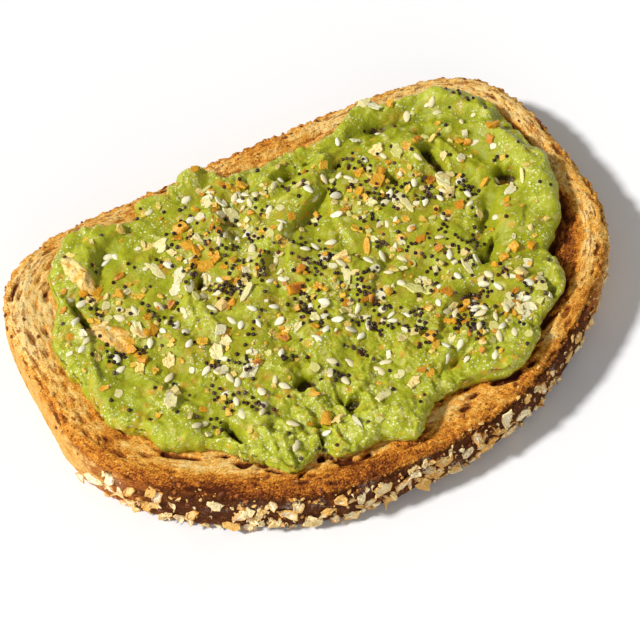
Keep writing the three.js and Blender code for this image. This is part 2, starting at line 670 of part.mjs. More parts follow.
// ---------------------------------------------------------------- assembly

/** One node of the toast: its name, form and finish. */
function namedMesh(name, geometry, finish) {
  const mesh = new THREE.Mesh(geometry, new THREE.MeshStandardMaterial(finish));
  mesh.name = name;
  return mesh;
}

const toast = new THREE.Group();
toast.add(
  namedMesh("toast_slice", toastSlice(), { color: 0xc98a3c, roughness: 0.85, metalness: 0 }),
  namedMesh("avocado_mash", avocadoMash(), { color: 0xa8b43a, roughness: 0.4, metalness: 0 }),
);

export default toast;
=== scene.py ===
"""Looks of an oat-crusted slice of toast with mashed avocado, seeds and dried flakes."""

import logging
import math
from collections.abc import Callable, Iterable, Sequence
from dataclasses import dataclass, field
from enum import Enum

import bpy
import numpy as np
from mathutils import Matrix, Quaternion, Vector
from mathutils.bvhtree import BVHTree


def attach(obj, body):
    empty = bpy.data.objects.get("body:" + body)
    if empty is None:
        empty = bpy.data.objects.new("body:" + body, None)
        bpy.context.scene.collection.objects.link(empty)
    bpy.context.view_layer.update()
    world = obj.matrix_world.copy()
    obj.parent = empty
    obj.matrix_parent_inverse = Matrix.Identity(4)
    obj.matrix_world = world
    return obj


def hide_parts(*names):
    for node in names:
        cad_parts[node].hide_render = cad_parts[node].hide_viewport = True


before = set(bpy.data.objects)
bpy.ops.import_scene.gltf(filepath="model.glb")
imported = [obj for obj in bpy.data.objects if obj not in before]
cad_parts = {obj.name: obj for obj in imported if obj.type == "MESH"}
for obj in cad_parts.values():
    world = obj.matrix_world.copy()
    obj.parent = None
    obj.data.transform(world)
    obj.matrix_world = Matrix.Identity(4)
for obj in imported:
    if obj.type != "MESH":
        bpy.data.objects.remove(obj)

log = logging.getLogger("toast")

Array = np.ndarray
Colour = tuple[float, float, float]
Size = tuple[float, float, float]
Piece = bpy.types.Object
Socket = bpy.types.NodeSocket

MM = 0.001
TURN = 2 * math.pi
UP = Vector((0, 0, 1))


# ---- small maths


def smooth(low: float, high: float, x: Array) -> Array:
    """Steps gently from 0 at low to 1 at high."""
    t = np.clip((x - low) / (high - low), 0, 1)
    return t * t * (3 - 2 * t)


def corner_value(i: Array, j: Array, seed: float) -> Array:
    """Gives a repeatable value from 0 to 1 for each corner of a square grid."""
    wave = 43758.5453 * np.sin(127.1 * i + 311.7 * j + 74.7 * seed)
    return wave - np.floor(wave)


def noise(x: Array, y: Array, seed: float, wrap: int = 0) -> Array:
    """Smooth noise with one value at each corner of a grid of unit squares.

    Args:
        x: Places across the grid.
        y: Places up the grid.
        seed: Picks one of many such fields.
        wrap: How many squares there are round a closed ring in x, or 0 for an open field.

    Returns:
        Values from 0 to 1.
    """
    i, j = np.floor(x), np.floor(y)
    u, v = smooth(0, 1, x - i), smooth(0, 1, y - j)
    after = i + 1
    if wrap:
        i, after = i % wrap, after % wrap
    low = corner_value(i, j, seed) * (1 - u) + corner_value(after, j, seed) * u
    high = corner_value(i, j + 1, seed) * (1 - u) + corner_value(after, j + 1, seed) * u
    return low * (1 - v) + high * v


def layered_noise(x: Array, y: Array, seed: float, layers: int = 3, wrap: int = 0) -> Array:
    """Noise with finer and finer layers, each half as strong as the last, from about -0.5 to 0.5.

    Args:
        x: Places across the grid.
        y: Places up the grid.
        seed: Picks one of many such fields.
        layers: How many layers there are.
        wrap: Squares round a closed ring in x, or 0 for an open field.

    Returns:
        Values from about -0.5 to 0.5.
    """
    total = np.zeros_like(x)
    for k in range(layers):
        total += 0.5**k * (noise(x * 2**k, y * 2**k, seed + 13 * k, wrap * 2**k) - 0.5)
    return total / (2 - 0.5 ** (layers - 1))


def pits(x: Array, y: Array, seed: float, share: float, wrap: int = 0) -> Array:
    """Round pits with flat floors, one in some of the squares of a grid of unit squares.

    Args:
        x: Places across the grid.
        y: Places up the grid.
        seed: Picks one of many such fields.
        share: The share of the squares that hold a pit.
        wrap: How many squares there are round a closed ring in x, or 0 for an open field.

    Returns:
        Depths from 0, outside the pits, to 1 in the largest ones.
    """
    i, j = np.floor(x), np.floor(y)
    deepest = np.zeros_like(x)
    for di in (-1, 0, 1):
        for dj in (-1, 0, 1):
            own_i = (i + di) % wrap if wrap else i + di
            own_j = j + dj
            chance = corner_value(own_i, own_j, seed + 57)
            size = np.sqrt(np.clip((share - chance) / share, 0, 1))
            across = x - (i + di + 0.2 + 0.6 * corner_value(own_i, own_j, seed))
            along = y - (own_j + 0.2 + 0.6 * corner_value(own_i, own_j, seed + 31))
            apart = np.hypot(across, along) / (0.16 + 0.4 * size)
            deepest = np.maximum(deepest, (1 - smooth(0.45, 1.0, apart)) * (0.35 + 0.65 * size) * (size > 0))
    return deepest


def clods(x: Array, y: Array, seed: float) -> Array:
    """Rounded clods of different heights, one to each unit square, with sharp seams between them.

    Args:
        x: Places across the grid.
        y: Places up the grid.
        seed: Picks one of many such fields.

    Returns:
        Heights, from about -0.5 in the seams to 0.4 on the highest clods.
    """
    i, j = np.floor(x), np.floor(y)
    highest = np.full(x.shape, -9.0)
    for di in (-1, 0, 1):
        for dj in (-1, 0, 1):
            across = x - (i + di + 0.1 + 0.8 * corner_value(i + di, j + dj, seed))
            along = y - (j + dj + 0.1 + 0.8 * corner_value(i + di, j + dj, seed + 31))
            top = 0.5 + 0.5 * corner_value(i + di, j + dj, seed + 57)
            highest = np.maximum(highest, top - 0.9 * (across * across + along * along))
    return highest - 0.6


def read_ring(values: Sequence[float], angle: Array) -> Array:
    """Reads equally spaced values round a ring at an angle, with cosine steps between them.

    Args:
        values: The ring's values, the first one at angle 0.
        angle: Angles in radians.

    Returns:
        The values at the angles.
    """
    ring = np.array(values)
    at = (angle % TURN) / TURN * len(ring)
    i = np.floor(at).astype(int) % len(ring)
    w = (1 - np.cos(np.pi * (at - np.floor(at)))) / 2
    return ring[i] * (1 - w) + ring[(i + 1) % len(ring)] * w


class Chance:
    """Repeatable random numbers."""

    def __init__(self, seed: int) -> None:
        """Starts a stream of its own for a seed."""
        self.state = seed

    def draw(self) -> float:
        """Gives the next number from 0 to 1."""
        self.state = (self.state * 1664525 + 1013904223) % 4294967296
        return self.state / 4294967296

    def within(self, least: float, most: float) -> float:
        """Gives the next number in a range."""
        return least + (most - least) * self.draw()

    def mostly_least(self, least: float, more: float, power: float = 2.4) -> float:
        """Gives a number from a least one to as much more, and the higher the power the oftener a low one."""
        return least + more * self.draw() ** power

    def pick(self, options: Sequence) -> object:
        """Picks one of several things."""
        return options[int(self.draw() * len(options))]


# ---- forms shared with the solid parts, in millimetres


@dataclass(frozen=True)
class SliceForm:
    """The slice of bread: a superellipse with a flat crust on one side and a dome on the other."""

    half_length: float = 80.5
    base_reach: float = 57.5
    dome_reach: float = 53.0
    widest_at: float = -2.15
    base_squareness: float = 5.0
    dome_squareness: float = 1.86
    thickness: float = 17.0
    wobble: tuple[float, ...] = (0.65, -0.35, -0.24, -0.25, -1.55, 0.21, -0.16, 0.9, 1.95, 0.25, 0.54, -0.74)
    crest_inset: float = 4.2
    shoulder_inset: float = 0.5
    shoulder_drop: float = 3.0
    dish: float = 1.1
    dish_end: float = 15.0
    foot_inset: float = 1.8
    foot_round: float = 5.4

    def polar(self, x: Array, y: Array) -> tuple[Array, Array]:
        """Gives angle and distance of places, seen from the middle of the widest line."""
        return np.arctan2(y - self.widest_at, x), np.hypot(x, y - self.widest_at)

    def crust_reach(self, angle: Array) -> Array:
        """Gives the distance from the middle of the widest line to the crust.

        Args:
            angle: Angles in radians.

        Returns:
            The distances in millimetres.
        """
        flat_side = np.sin(angle) > 0
        reach = np.where(flat_side, self.base_reach, self.dome_reach)
        n = np.where(flat_side, self.base_squareness, self.dome_squareness)
        across = np.abs(np.cos(angle) / self.half_length) ** n
        along = np.abs(np.sin(angle) / reach) ** n
        return (across + along) ** (-1 / n) + read_ring(self.wobble, angle)

    def face_height(self, inset: Array) -> Array:
        """Gives the height of the toasted face, at a distance in from the crust.

        Args:
            inset: Distances in from the crust.

        Returns:
            The heights in millimetres.
        """
        t = np.clip((self.crest_inset - inset) / (self.crest_inset - self.shoulder_inset), 0, 1)
        shoulder = self.thickness - self.shoulder_drop * (1 - np.sqrt(1 - t * t))
        dished = self.thickness - self.dish * smooth(self.crest_inset, self.dish_end, inset)
        return np.where(inset >= self.crest_inset, dished, shoulder)

    def crumb_height(self, x: Array, y: Array) -> Array:
        """Gives the height of the toasted face at places on it."""
        angle, radius = self.polar(x, y)
        return self.face_height(self.crust_reach(angle) - radius)

    def wall_inset(self, z: Array) -> Array:
        """Gives how far the crust wall stands in from its widest, at a height.

        Args:
            z: Heights over the table.

        Returns:
            The insets in millimetres.
        """
        top = self.thickness - self.shoulder_drop
        under = self.foot_inset * (1 - np.clip(z / self.foot_round, 0, 1)) ** 2.2
        over = self.shoulder_inset * np.clip((z - 0.6 * top) / (0.4 * top), 0, 1) ** 2
        return under + over

    def heading(self, angle: Array) -> Array:
        """Gives the direction in which the crust runs.

        Args:
            angle: Angles in radians.

        Returns:
            The directions in radians.
        """
        step = 0.01
        ahead, behind = self.crust_reach(angle + step), self.crust_reach(angle - step)
        run_x = ahead * np.cos(angle + step) - behind * np.cos(angle - step)
        run_y = ahead * np.sin(angle + step) - behind * np.sin(angle - step)
        return np.arctan2(run_y, run_x)


def follow(points: Array, x: Array, y: Array) -> tuple[Array, Array, Array]:
    """Measures places against a line through points.

    Args:
        points: The line's points, one to a row.
        x: Places across the slice.
        y: Places along it.

    Returns:
        How far the places are from the line, how far to the left of it, and their share of the way along.
    """
    nearest = np.full(x.shape, np.inf)
    left, along = np.zeros_like(x), np.zeros_like(x)
    pieces = len(points) - 1
    for i in range(pieces):
        a, b = points[i], points[i + 1] - points[i]
        t = np.clip(((x - a[0]) * b[0] + (y - a[1]) * b[1]) / (b @ b), 0, 1)
        ox, oy = x - a[0] - b[0] * t, y - a[1] - b[1] * t
        apart = np.hypot(ox, oy)
        closer = apart < nearest
        side = (b[0] * oy - b[1] * ox) / np.hypot(*b)
        nearest, left = np.where(closer, apart, nearest), np.where(closer, side, left)
        along = np.where(closer, (i + t) / pieces, along)
    return nearest, left, along


@dataclass(frozen=True)
class Lobe:
    """A tongue (out > 0) or bite (out < 0) of the mash's edge, in degrees and millimetres."""

    at: float
    wide: float
    out: float
    square: float = 2


@dataclass(frozen=True)
class Stroke:
    """A ridge (rise > 0) or furrow (rise < 0) that the knife left, from one place to another."""

    start: tuple[float, float]
    end: tuple[float, float]
    wide: float
    rise: float
    bow: float = 0
    steep: float = 1
    sharp: float = 2
    pieces: int = 6

    def path(self) -> Array:
        """Gives points along the stroke, bowed to the left of its travel.

        Returns:
            The points, one to a row.
        """
        start, run = np.array(self.start), np.array(self.end) - np.array(self.start)
        t = np.linspace(0, 1, self.pieces + 1)[:, None]
        left = np.array((-run[1], run[0])) / np.hypot(*run)
        return start + run * t + left * self.bow * 4 * t * (1 - t)

    def lift(self, x: Array, y: Array) -> Array:
        """Gives what the stroke adds to the mash's depth at places.

        Args:
            x: Places across the slice.
            y: Places along it.

        Returns:
            The depths in millimetres.
        """
        nearest, left, along = follow(self.path(), x, y)
        swell = 0.65 + 0.35 * np.sin(np.pi * along)
        flank = 1 + (self.steep - 1) * (0.5 - 0.5 * left / np.maximum(nearest, 1e-6))
        return self.rise * np.exp(-((nearest / (self.wide * swell * flank)) ** self.sharp))


@dataclass(frozen=True)
class Crease:
    """A step where one smear ends over another: high to the left of its travel and low to the right."""

    start: tuple[float, float]
    middle: tuple[float, float]
    end: tuple[float, float]
    drop: float
    reach: float
    sharp: float = 0.45
    pieces: int = 8

    def path(self) -> Array:
        """Gives points along the curve through the start, the middle and the end.

        Returns:
            The points, one to a row.
        """
        t = np.linspace(0, 1, self.pieces + 1)[:, None]
        start, middle, end = np.array(self.start), np.array(self.middle), np.array(self.end)
        return start * (1 - t) * (1 - 2 * t) + middle * 4 * t * (1 - t) + end * t * (2 * t - 1)

    def lift(self, x: Array, y: Array) -> Array:
        """Gives what the step adds to the mash's depth at places.

        Args:
            x: Places across the slice.
            y: Places along it.

        Returns:
            The depths in millimetres.
        """
        nearest, offset, along = follow(self.path(), x, y)
        held = smooth(0, 0.25, along) * (1 - smooth(0.75, 1, along))
        return 0.5 * self.drop * held * np.tanh(offset / self.sharp) * np.exp(-nearest / self.reach)


@dataclass(frozen=True)
class Lumps:
    """A layer of soft lumps, stretched along the way the knife ran."""

    cell: float
    rise: float
    creased: bool
    stretch: float
    heading: float
    seed: int

    def lift(self, x: Array, y: Array) -> Array:
        """Gives what the layer adds to the mash's depth at places.

        Args:
            x: Places across the slice.
            y: Places along it.

        Returns:
            The depths in millimetres.
        """
        turn = math.radians(self.heading)
        along = (x * math.cos(turn) + y * math.sin(turn)) / (self.cell * self.stretch)
        across = (y * math.cos(turn) - x * math.sin(turn)) / self.cell
        level = noise(along, across, self.seed)
        return self.rise * (np.abs(2 * level - 1) - 0.4 if self.creased else level - 0.5)


LOBES = tuple(
    Lobe(*row)
    for row in (
        (9, 3.4, 1.8), (349, 9.6, -5.6, 3), (354.5, 2.2, 1.6), (346.5, 2.6, -1.6), (333, 7.9, 2.0),
        (310.5, 10.4, 4.3, 4), (282, 16, -2.5, 3), (268.5, 7.1, 6.3), (245, 15.4, 1.7, 3),
        (237.5, 4.6, -4.0), (231, 5.9, 3.1), (208, 8.2, -4.0), (193, 3.3, -3.0), (168, 6.5, 2.0, 4),
        (154, 5.6, -4.1), (137, 3.9, 3.7), (130, 4.8, -2.5, 3), (122, 3.7, 4.0, 4), (114.5, 2.9, 5.1),
        (107.3, 4.9, 7.5, 4), (67, 6.8, -1.8), (55, 4.0, 4.9),
    )
)

# The main strokes by name: start, end, width and rise, and where it matters bow, steepness and sharpness.
STROKES = {
    name: Stroke(*row)
    for name, row in {
        "long_fold": ((-14, 13.5), (17, 35.5), 5.2, 2.5, -1.5, 0.4),
        "fold_shadow": ((0, 19.5), (14, 27.5), 2, -0.8, -1),
        "fold_back": ((-5, 25.5), (9, 36), 2.2, -1.2, 1),
        "right_bank": ((66.4, -7), (62, 28), 4.6, 1.8, -2.6, 0.5),
        "right_tip": ((62, -3), (69.5, -7.5), 2.2, 1.6),
        "torn_flap": ((37, 20), (41, 29), 4.2, 1.9, 0, 0.45),
        "tear": ((43.2, 27.5), (45.6, 19.5), 1.8, -3.2, 0.6, 1, 3),
        "tear_top": ((41.4, 28), (46.4, 27.6), 1.3, -2.8, 0, 1, 3),
        "right_pit": ((59, 11), (60.5, 8), 2.9, -4.8, 0, 1, 4),
        "right_pit_brow": ((52, 12), (58, 15.5), 3, 1.2, 0, 0.7),
        "left_bowl_wall": ((-57, 30), (-41, 42.5), 3.8, 2.1, 3, 0.55),
        "left_bowl": ((-51, 31.5), (-42, 36), 4.4, -0.9, 1.5, 1, 3),
        "left_bank": ((-66.5, 3), (-64.8, 30), 5.2, 2.3, -1.2, 0.35),
        "left_crevice": ((-62.3, 17), (-62.6, 25), 1.3, -2, 0, 1, 3),
        "left_ridge": ((-32.5, 2), (-33.5, 16), 4.2, 1.9, 0, 0.45),
        "left_valley": ((-39.5, 12), (-38.5, 3), 3, -1.6),
        "dark_notch": ((-29, 17.5), (-26, 14), 1.7, -2),
        "upper_ridge": ((-17, 23), (-17.5, 36), 4, 1.6, 0, 0.45),
        "upper_valley": ((-11.5, 38), (-12, 25), 2.4, -1.2),
        "back_tongue": ((-20, 47), (-14.5, 49), 3.4, 1.2),
        "back_left_mound": ((-55, 44), (-49, 45), 3.6, 0.9),
        "back_furrow": ((3, 36.7), (10, 36), 1.8, -2), "back_ridge": ((13, 36.5), (20, 37.5), 2, 1),
        "back_valley": ((19, 39), (37, 40.5), 2.4, -1.5, -1), "back_lip": ((28, 44), (37, 46), 3.2, 1),
        "swirl_outer": ((36, 41.5), (62, 30), 2.2, -1.6, 3),
        "swirl_crest": ((42, 45), (66, 30), 2.6, 0.9, 4),
        "swirl_inner": ((44.5, 33.5), (57, 16), 2, -1.4, 3),
        "right_shoulder": ((66.5, 10), (65, 35), 3.2, 1, 0, 0.6),
        "right_valley": ((50, 3), (41.5, -11), 3.8, -3, -1.5),
        "right_mound": ((50, -3.5), (57, -7.5), 5.2, 1.6),
        "mound_step": ((42, -14.8), (54, -15.8), 1.6, -1.1),
        "right_shelf": ((40, -20.5), (53, -22), 4.2, 0.9),
        "front_right_furrow": ((50.3, -22), (50.8, -29), 1.7, -1.9),
        "seeded_hollow": ((27, -22), (33, -21), 4.2, -2.8, 0, 1, 3),
        "front_trough": ((17, -36.3), (24, -35.8), 1.7, -2),
        "front_lip": ((8, -35.5), (26, -32.8), 2.2, 0.9, 1, 0.7),
        "pit_brow": ((-25, -19), (-15, -20.3), 2.6, 1.3, 1, 0.5),
        "front_left_pit": ((-21, -22.7), (-17, -23.3), 2, -4.2, 0, 1, 4),
        "front_groove": ((-17.5, -26), (-13.5, -32), 1.7, -1.3),
        "front_crack": ((-13.2, -33.8), (-10, -33.6), 1.6, -3.8, 0, 1, 3),
        "crack_tail": ((-8, -32.8), (-2, -33.2), 1.5, -1.4),
        "front_tongue": ((-10, -42), (0, -44.5), 4.6, 1),
        "front_left_rift": ((-42.5, -25.5), (-42, -32), 1.5, -3, 0, 1, 3),
        "front_left_mound": ((-36, -29), (-33, -39), 4.6, 1.5),
        "lower_left_lip": ((-60, -17), (-50, -23), 3.6, 1.2),
        "middle_dip": ((-22, -3), (-30, -2), 3.4, -0.9),
        "brown_flake_dip": ((-13, -1.5), (-8, -3.5), 2.6, -1.4),
    }.items()
}

# The creases by name: start, middle, end, drop and reach.
CREASES = {
    name: Crease(*row)
    for name, row in {
        "long_fold": ((-3.2, 18), (6.2, 24.4), (15.5, 28.2), 3.8, 1.3, 0.3),
        "fold_end": ((14.4, 27.6), (12.4, 24.6), (11.4, 20), 1, 2.5),
        "thin_crest": ((13.2, 25.5), (10.9, 17.3), (11.7, 4.3), 1.5, 3),
        "back_ridge": ((12, 32.8), (16.2, 34.6), (20.6, 35.8), 1.6, 2.5),
        "back_step": ((19.5, 38.5), (28.5, 38.3), (38, 40.8), 1.4, 4),
        "tear_left": ((43.6, 17), (42.3, 23.2), (41.3, 28.6), 3, 2.4),
        "tear_right": ((45.4, 28.4), (45.2, 22.4), (46.2, 16.8), 2.4, 2),
        "swirl_inner": ((52, 19), (50.8, 25), (48.6, 31), 1.3, 3),
        "swirl_outer": ((40, 41), (50.1, 37.5), (60, 29), 2, 4.5),
        "swirl_top": ((51.6, 39.4), (56.8, 37.4), (63, 35.5), 1.8, 3),
        "valley_top": ((43.6, -5), (45.2, -0.4), (50.8, 2.4), 2.8, 3.5),
        "valley_low": ((38.6, -12.6), (42.8, -8.8), (48.6, -6.6), 3.2, 3.5),
        "left_crevice": ((-61.4, 13), (-62.6, 21.4), (-62.4, 31), 1.1, 2.2),
        "bowl": ((-54, 31.6), (-49.4, 37.6), (-40.6, 40), 1, 2.4),
        "left_ridge": ((-35.8, 3.4), (-35, 11.7), (-30.4, 20), 1.9, 3),
        "pit_side": ((-22.4, -26), (-21.5, -22.9), (-20.4, -19.8), 3.2, 2),
        "flap_top": ((-10.6, -23), (-17.6, -25.3), (-25.2, -24.4), 3, 2.4),
        "lump_side": ((-13.4, -44.5), (-14.3, -35.4), (-13.5, -25.6), 3.4, 3.5),
        "front_flap": ((0.6, -41), (-7.6, -39.4), (-14.2, -36), 2.4, 3),
        "front_line": ((-6.6, -26.8), (-0.8, -26.2), (5.4, -25), 1.6, 3),
        "mound_step": ((38.6, -17.2), (45.6, -18), (53.4, -22.6), 1.8, 4.5),
        "furrow": ((50.6, -30.2), (50.9, -25.5), (50.8, -20.8), 2.6, 2.5),
        "hollow_side": ((17.6, -27.4), (20.8, -22.6), (25.2, -19.6), 2, 2.5),
        "trough_lip": ((29, -33), (22.4, -34.4), (15.4, -37.4), 2.2, 2.5),
        "mass_side": ((-24.8, -42.6), (-23.4, -36.8), (-23.2, -29.8), 3.2, 3),
        "lump_split": ((-32.2, -46.5), (-32.6, -41.6), (-32, -37.6), 2.6, 2.2),
        "small_split": ((-35.2, -34.6), (-34.3, -31.4), (-31.6, -29), 2, 2),
        "rift_side": ((-42.6, -33.5), (-42.9, -29), (-43.4, -24), 2.4, 2.2),
        "lower_left_step": ((-60.5, -12.5), (-54, -14.6), (-47, -19.5), 1.8, 3.5),
        "middle_step": ((-24.5, -18), (-17, -15), (-8, -16.5), 1.4, 3.5),
        "upper_step": ((-18.6, 22), (-17.4, 29), (-12.6, 36.5), 1.8, 3.5),
    }.items()
}


@dataclass(frozen=True)
class Pit:
    """A hole in the mash with steep walls: its middle, size, turn in degrees and the depth left in it."""

    x: float
    y: float
    length: float
    width: float
    turn: float
    floor: float = 0.7

    def share(self, x: Array, y: Array) -> Array:
        """Gives how far places are in the hole, from 0 outside it to 1 on its floor.

        Args:
            x: Places across the slice.
            y: Places along it.

        Returns:
            The shares.
        """
        turn = math.radians(self.turn)
        u = ((x - self.x) * math.cos(turn) + (y - self.y) * math.sin(turn)) / (self.length / 2)
        v = ((y - self.y) * math.cos(turn) - (x - self.x) * math.sin(turn)) / (self.width / 2)
        away = np.hypot(u, v) + 0.7 * layered_noise(x / 2.2, y / 2.2, 151)
        return 1 - smooth(0.75, 1.15, away)


# The open holes by name: middle, length, width, turn and what is left in them.
PITS = {
    name: Pit(*row)
    for name, row in {
        "right_pit": (60, 8.7, 5.4, 4.8, 60), "tear_top": (43.6, 27.4, 4.2, 2.8, 170, 1),
        "tear_tail": (45.3, 21.2, 5, 1.9, 100, 1), "pit_by_flap": (-19.9, -23.1, 5.4, 3.4, 10),
        "front_crack": (-11.7, -34.1, 5.2, 3, 5, 0.8), "left_crevice": (-62, 20, 4.4, 1.4, 86, 0.8),
        "dark_notch": (-29.8, 16.2, 4.2, 2.6, 60, 1.2), "trough": (21.1, -35.7, 3.8, 1.6, 15, 1.2),
        "lobe_slit": (-23.7, -39.2, 3.4, 1.3, 85, 1), "back_furrow": (7.1, 36.9, 4, 1.8, 5, 2.4),
        "back_dent": (13.4, 37.9, 2.6, 2, 0, 2.6), "upper_dent": (20.8, 33.8, 3.6, 1.8, 0, 2.4),
        "flake_hollow": (31.4, 22.8, 3, 4.6, 20, 2.2), "valley_head": (48.3, 1.4, 4.6, 2.2, 60, 2.8),
        "valley_foot": (44.4, -8, 4.6, 1.8, 50, 1.8), "valley_pocket": (39.4, -11.8, 3.4, 2.4, 60, 1.6),
        "rift": (-42.4, -28.6, 6, 1.8, 100, 1),
    }.items()
}

LUMPS = (
    Lumps(17, 2.2, False, 1.6, 35, 1),
    Lumps(9.5, 1.8, True, 1.7, 60, 2),
    Lumps(5.2, 0.8, True, 1.3, 20, 3),
)


@dataclass(frozen=True)
class MashForm:
    """The mash: its edge follows the crust at a distance, and its depth comes from strokes and lumps."""

    bread: SliceForm
    rim: float = 10.5
    depth: float = 5.6
    crown: float = 1.1
    least_depth: float = 0.9
    edge_round: float = 3.4
    edge_squareness: float = 2.4
    corner_angle: float = 38
    warp_cell: float = 8
    warp_reach: float = 2.2
    warp_seeds: tuple[int, int] = (8, 9)

    def reach(self, angle: Array) -> Array:
        """Gives the distance from the middle of the widest line to the mash's edge.

        Args:
            angle: Angles in radians.

        Returns:
            The distances in millimetres.
        """
        degrees = np.degrees(angle)
        total = self.bread.crust_reach(angle) - self.rim
        for lobe in LOBES:
            off = (degrees - lobe.at + 180) % 360 - 180
            total = total + lobe.out * np.exp(-(np.abs(off / lobe.wide) ** lobe.square))
        return total

    def depth_at(self, x: Array, y: Array) -> Array:
        """Gives the depth of the mash over the crumb, away from its edge.

        Args:
            x: Places across the slice.
            y: Places along it.

        Returns:
            The depths in millimetres.
        """
        angle, radius = self.bread.polar(x, y)
        share = np.minimum(1, radius / self.reach(angle))
        cell, reach = self.warp_cell, self.warp_reach
        stray = [reach * (noise(x / cell, y / cell, seed) - 0.5) for seed in self.warp_seeds]
        total = self.depth + self.crown * (1 - share * share)
        total = total + sum(stroke.lift(x + stray[0], y + stray[1]) for stroke in STROKES.values())
        total = total + sum(layer.lift(x, y) for layer in LUMPS)
        return np.maximum(self.least_depth, total)

    def edge_share(self, inset: Array) -> Array:
        """Gives the share of its full depth that the mash has reached, at a distance in from its edge."""
        u = np.clip(inset / self.edge_round, 0, 1)
        return 0.5 + 0.5 * (1 - (1 - u) ** self.edge_squareness) ** (1 / self.edge_squareness)


# ---- meshes made in edit mode


class Bench:
    """Edit-mode steps that several pieces share."""

    @staticmethod
    def clear_selection() -> None:
        """Leaves edit mode and deselects every object."""
        if bpy.context.object and bpy.context.object.mode != "OBJECT":
            bpy.ops.object.mode_set(mode="OBJECT")
        bpy.ops.object.select_all(action="DESELECT")

    @staticmethod
    def edit() -> None:
        """Opens the active object in edit mode, with all of it selected."""
        bpy.ops.object.mode_set(mode="EDIT")
        bpy.ops.mesh.select_all(action="SELECT")

    @staticmethod
    def select_border() -> None:
        """Selects the open edges of the mesh in edit mode, and nothing else."""
        bpy.ops.mesh.select_all(action="DESELECT")
        bpy.ops.mesh.select_mode(type="EDGE")
        bpy.ops.mesh.select_non_manifold(extend=False)

    @staticmethod
    def close_below() -> None:
        """Closes the selected border with a fan round one point below its middle, and leaves edit mode."""
        bpy.ops.mesh.extrude_region_move(TRANSFORM_OT_translate={"value": (0, 0, -1)})
        bpy.ops.mesh.merge(type="CENTER")
        bpy.ops.mesh.select_mode(type="VERT")
        bpy.ops.object.mode_set(mode="OBJECT")

    @staticmethod
    def named(name: str) -> Piece:
        """Names the active object and its mesh, and gives it back.

        Args:
            name: Its name.

        Returns:
            The active object.
        """
        piece = bpy.context.object
        piece.name = piece.data.name = name
        return piece

    @staticmethod
    def points(piece: Piece) -> Array:
        """Reads a mesh's points as rows of x, y and z.

        Args:
            piece: Whose points are read.

        Returns:
            The points, one to a row.
        """
        flat = np.empty(3 * len(piece.data.vertices), np.float32)
        piece.data.vertices.foreach_get("co", flat)
        return flat.reshape(-1, 3).astype(float)

    @staticmethod
    def move_points(piece: Piece, points: Array) -> None:
        """Puts a mesh's points where rows of x, y and z say."""
        piece.data.vertices.foreach_set("co", points.astype(np.float32).ravel())
        piece.data.update()

    @staticmethod
    def add_rings(count: int, growth: float) -> None:
        """Extrudes the selected loop outwards several times, each ring a set share wider than the last.

        Args:
            count: How many rings.
            growth: The width of each, as a share of the last.
        """
        for _ in range(count):
            bpy.ops.mesh.extrude_region_move()
            bpy.ops.transform.resize(value=(growth, growth, 1))

    @staticmethod
    def close_loop() -> None:
        """Closes the selected loop with a fan round one point in its middle."""
        bpy.ops.mesh.extrude_region_move()
        bpy.ops.mesh.merge(type="CENTER")

    @staticmethod
    def finish(piece: Piece, name: str) -> Piece:
        """Gives a piece outward normals and smooth shading, and turns millimetres into metres.

        Args:
            piece: The shaped piece, in millimetres.
            name: Its name.

        Returns:
            The piece, in metres.
        """
        Bench.clear_selection()
        piece.select_set(True)
        bpy.context.view_layer.objects.active = piece
        Bench.edit()
        bpy.ops.mesh.normals_make_consistent(inside=False)
        bpy.ops.object.mode_set(mode="OBJECT")
        bpy.ops.object.shade_smooth()
        piece.data.transform(Matrix.Scale(MM, 4))
        piece.name = piece.data.name = name
        return piece

    @staticmethod
    def paint(piece: Piece, name: str, values: Array) -> None:
        """Stores one value, or one colour or vector, for each point of a mesh.

        Args:
            piece: Whose points are painted.
            name: The name under which they are stored.
            values: The values, one to a point.
        """
        if values.ndim == 1:
            layer = piece.data.attributes.new(name, "FLOAT", "POINT")
            layer.data.foreach_set("value", values.astype(np.float32))
            return
        layer = piece.data.attributes.new(name, "FLOAT_VECTOR", "POINT")
        layer.data.foreach_set("vector", values.astype(np.float32).ravel())


# ---- shader maths


class Value:
    """A number socket of a material that can be used in sums."""

    def __init__(self, tree: bpy.types.NodeTree, socket: Socket) -> None:
        """Wraps a socket of a node tree."""
        self.tree = tree
        self.socket = socket

    def math(
        self, operation: str, other: "Value | float", first: bool = True, clamp: bool = False
    ) -> "Value":
        """Adds a Math node.

        Args:
            operation: The node's operation.
            other: The second value.
            first: Whether this value is the operation's first one.
            clamp: Whether the result is kept from 0 to 1.

        Returns:
            The node's result.
        """
        node = self.tree.nodes.new("ShaderNodeMath")
        node.operation = operation
        node.use_clamp = clamp
        mine, theirs = node.inputs[0 if first else 1], node.inputs[1 if first else 0]
        self.tree.links.new(self.socket, mine)
        if isinstance(other, Value):
            self.tree.links.new(other.socket, theirs)
        else:
            theirs.default_value = other
        return Value(self.tree, node.outputs[0])

    def __add__(self, other: "Value | float") -> "Value":
        """Adds."""
        return self.math("ADD", other)

    def __radd__(self, other: float) -> "Value":
        """Adds to a number."""
        return self.math("ADD", other)

    def __sub__(self, other: "Value | float") -> "Value":
        """Subtracts."""
        return self.math("SUBTRACT", other)

    def __rsub__(self, other: float) -> "Value":
        """Subtracts from a number."""
        return self.math("SUBTRACT", other, first=False)

    def __mul__(self, other: "Value | float") -> "Value":
        """Multiplies."""
        return self.math("MULTIPLY", other)

    def __rmul__(self, other: float) -> "Value":
        """Multiplies a number."""
        return self.math("MULTIPLY", other)

    def clamped(self) -> "Value":
        """Keeps the value from 0 to 1."""
        return self.math("ADD", 0.0, clamp=True)


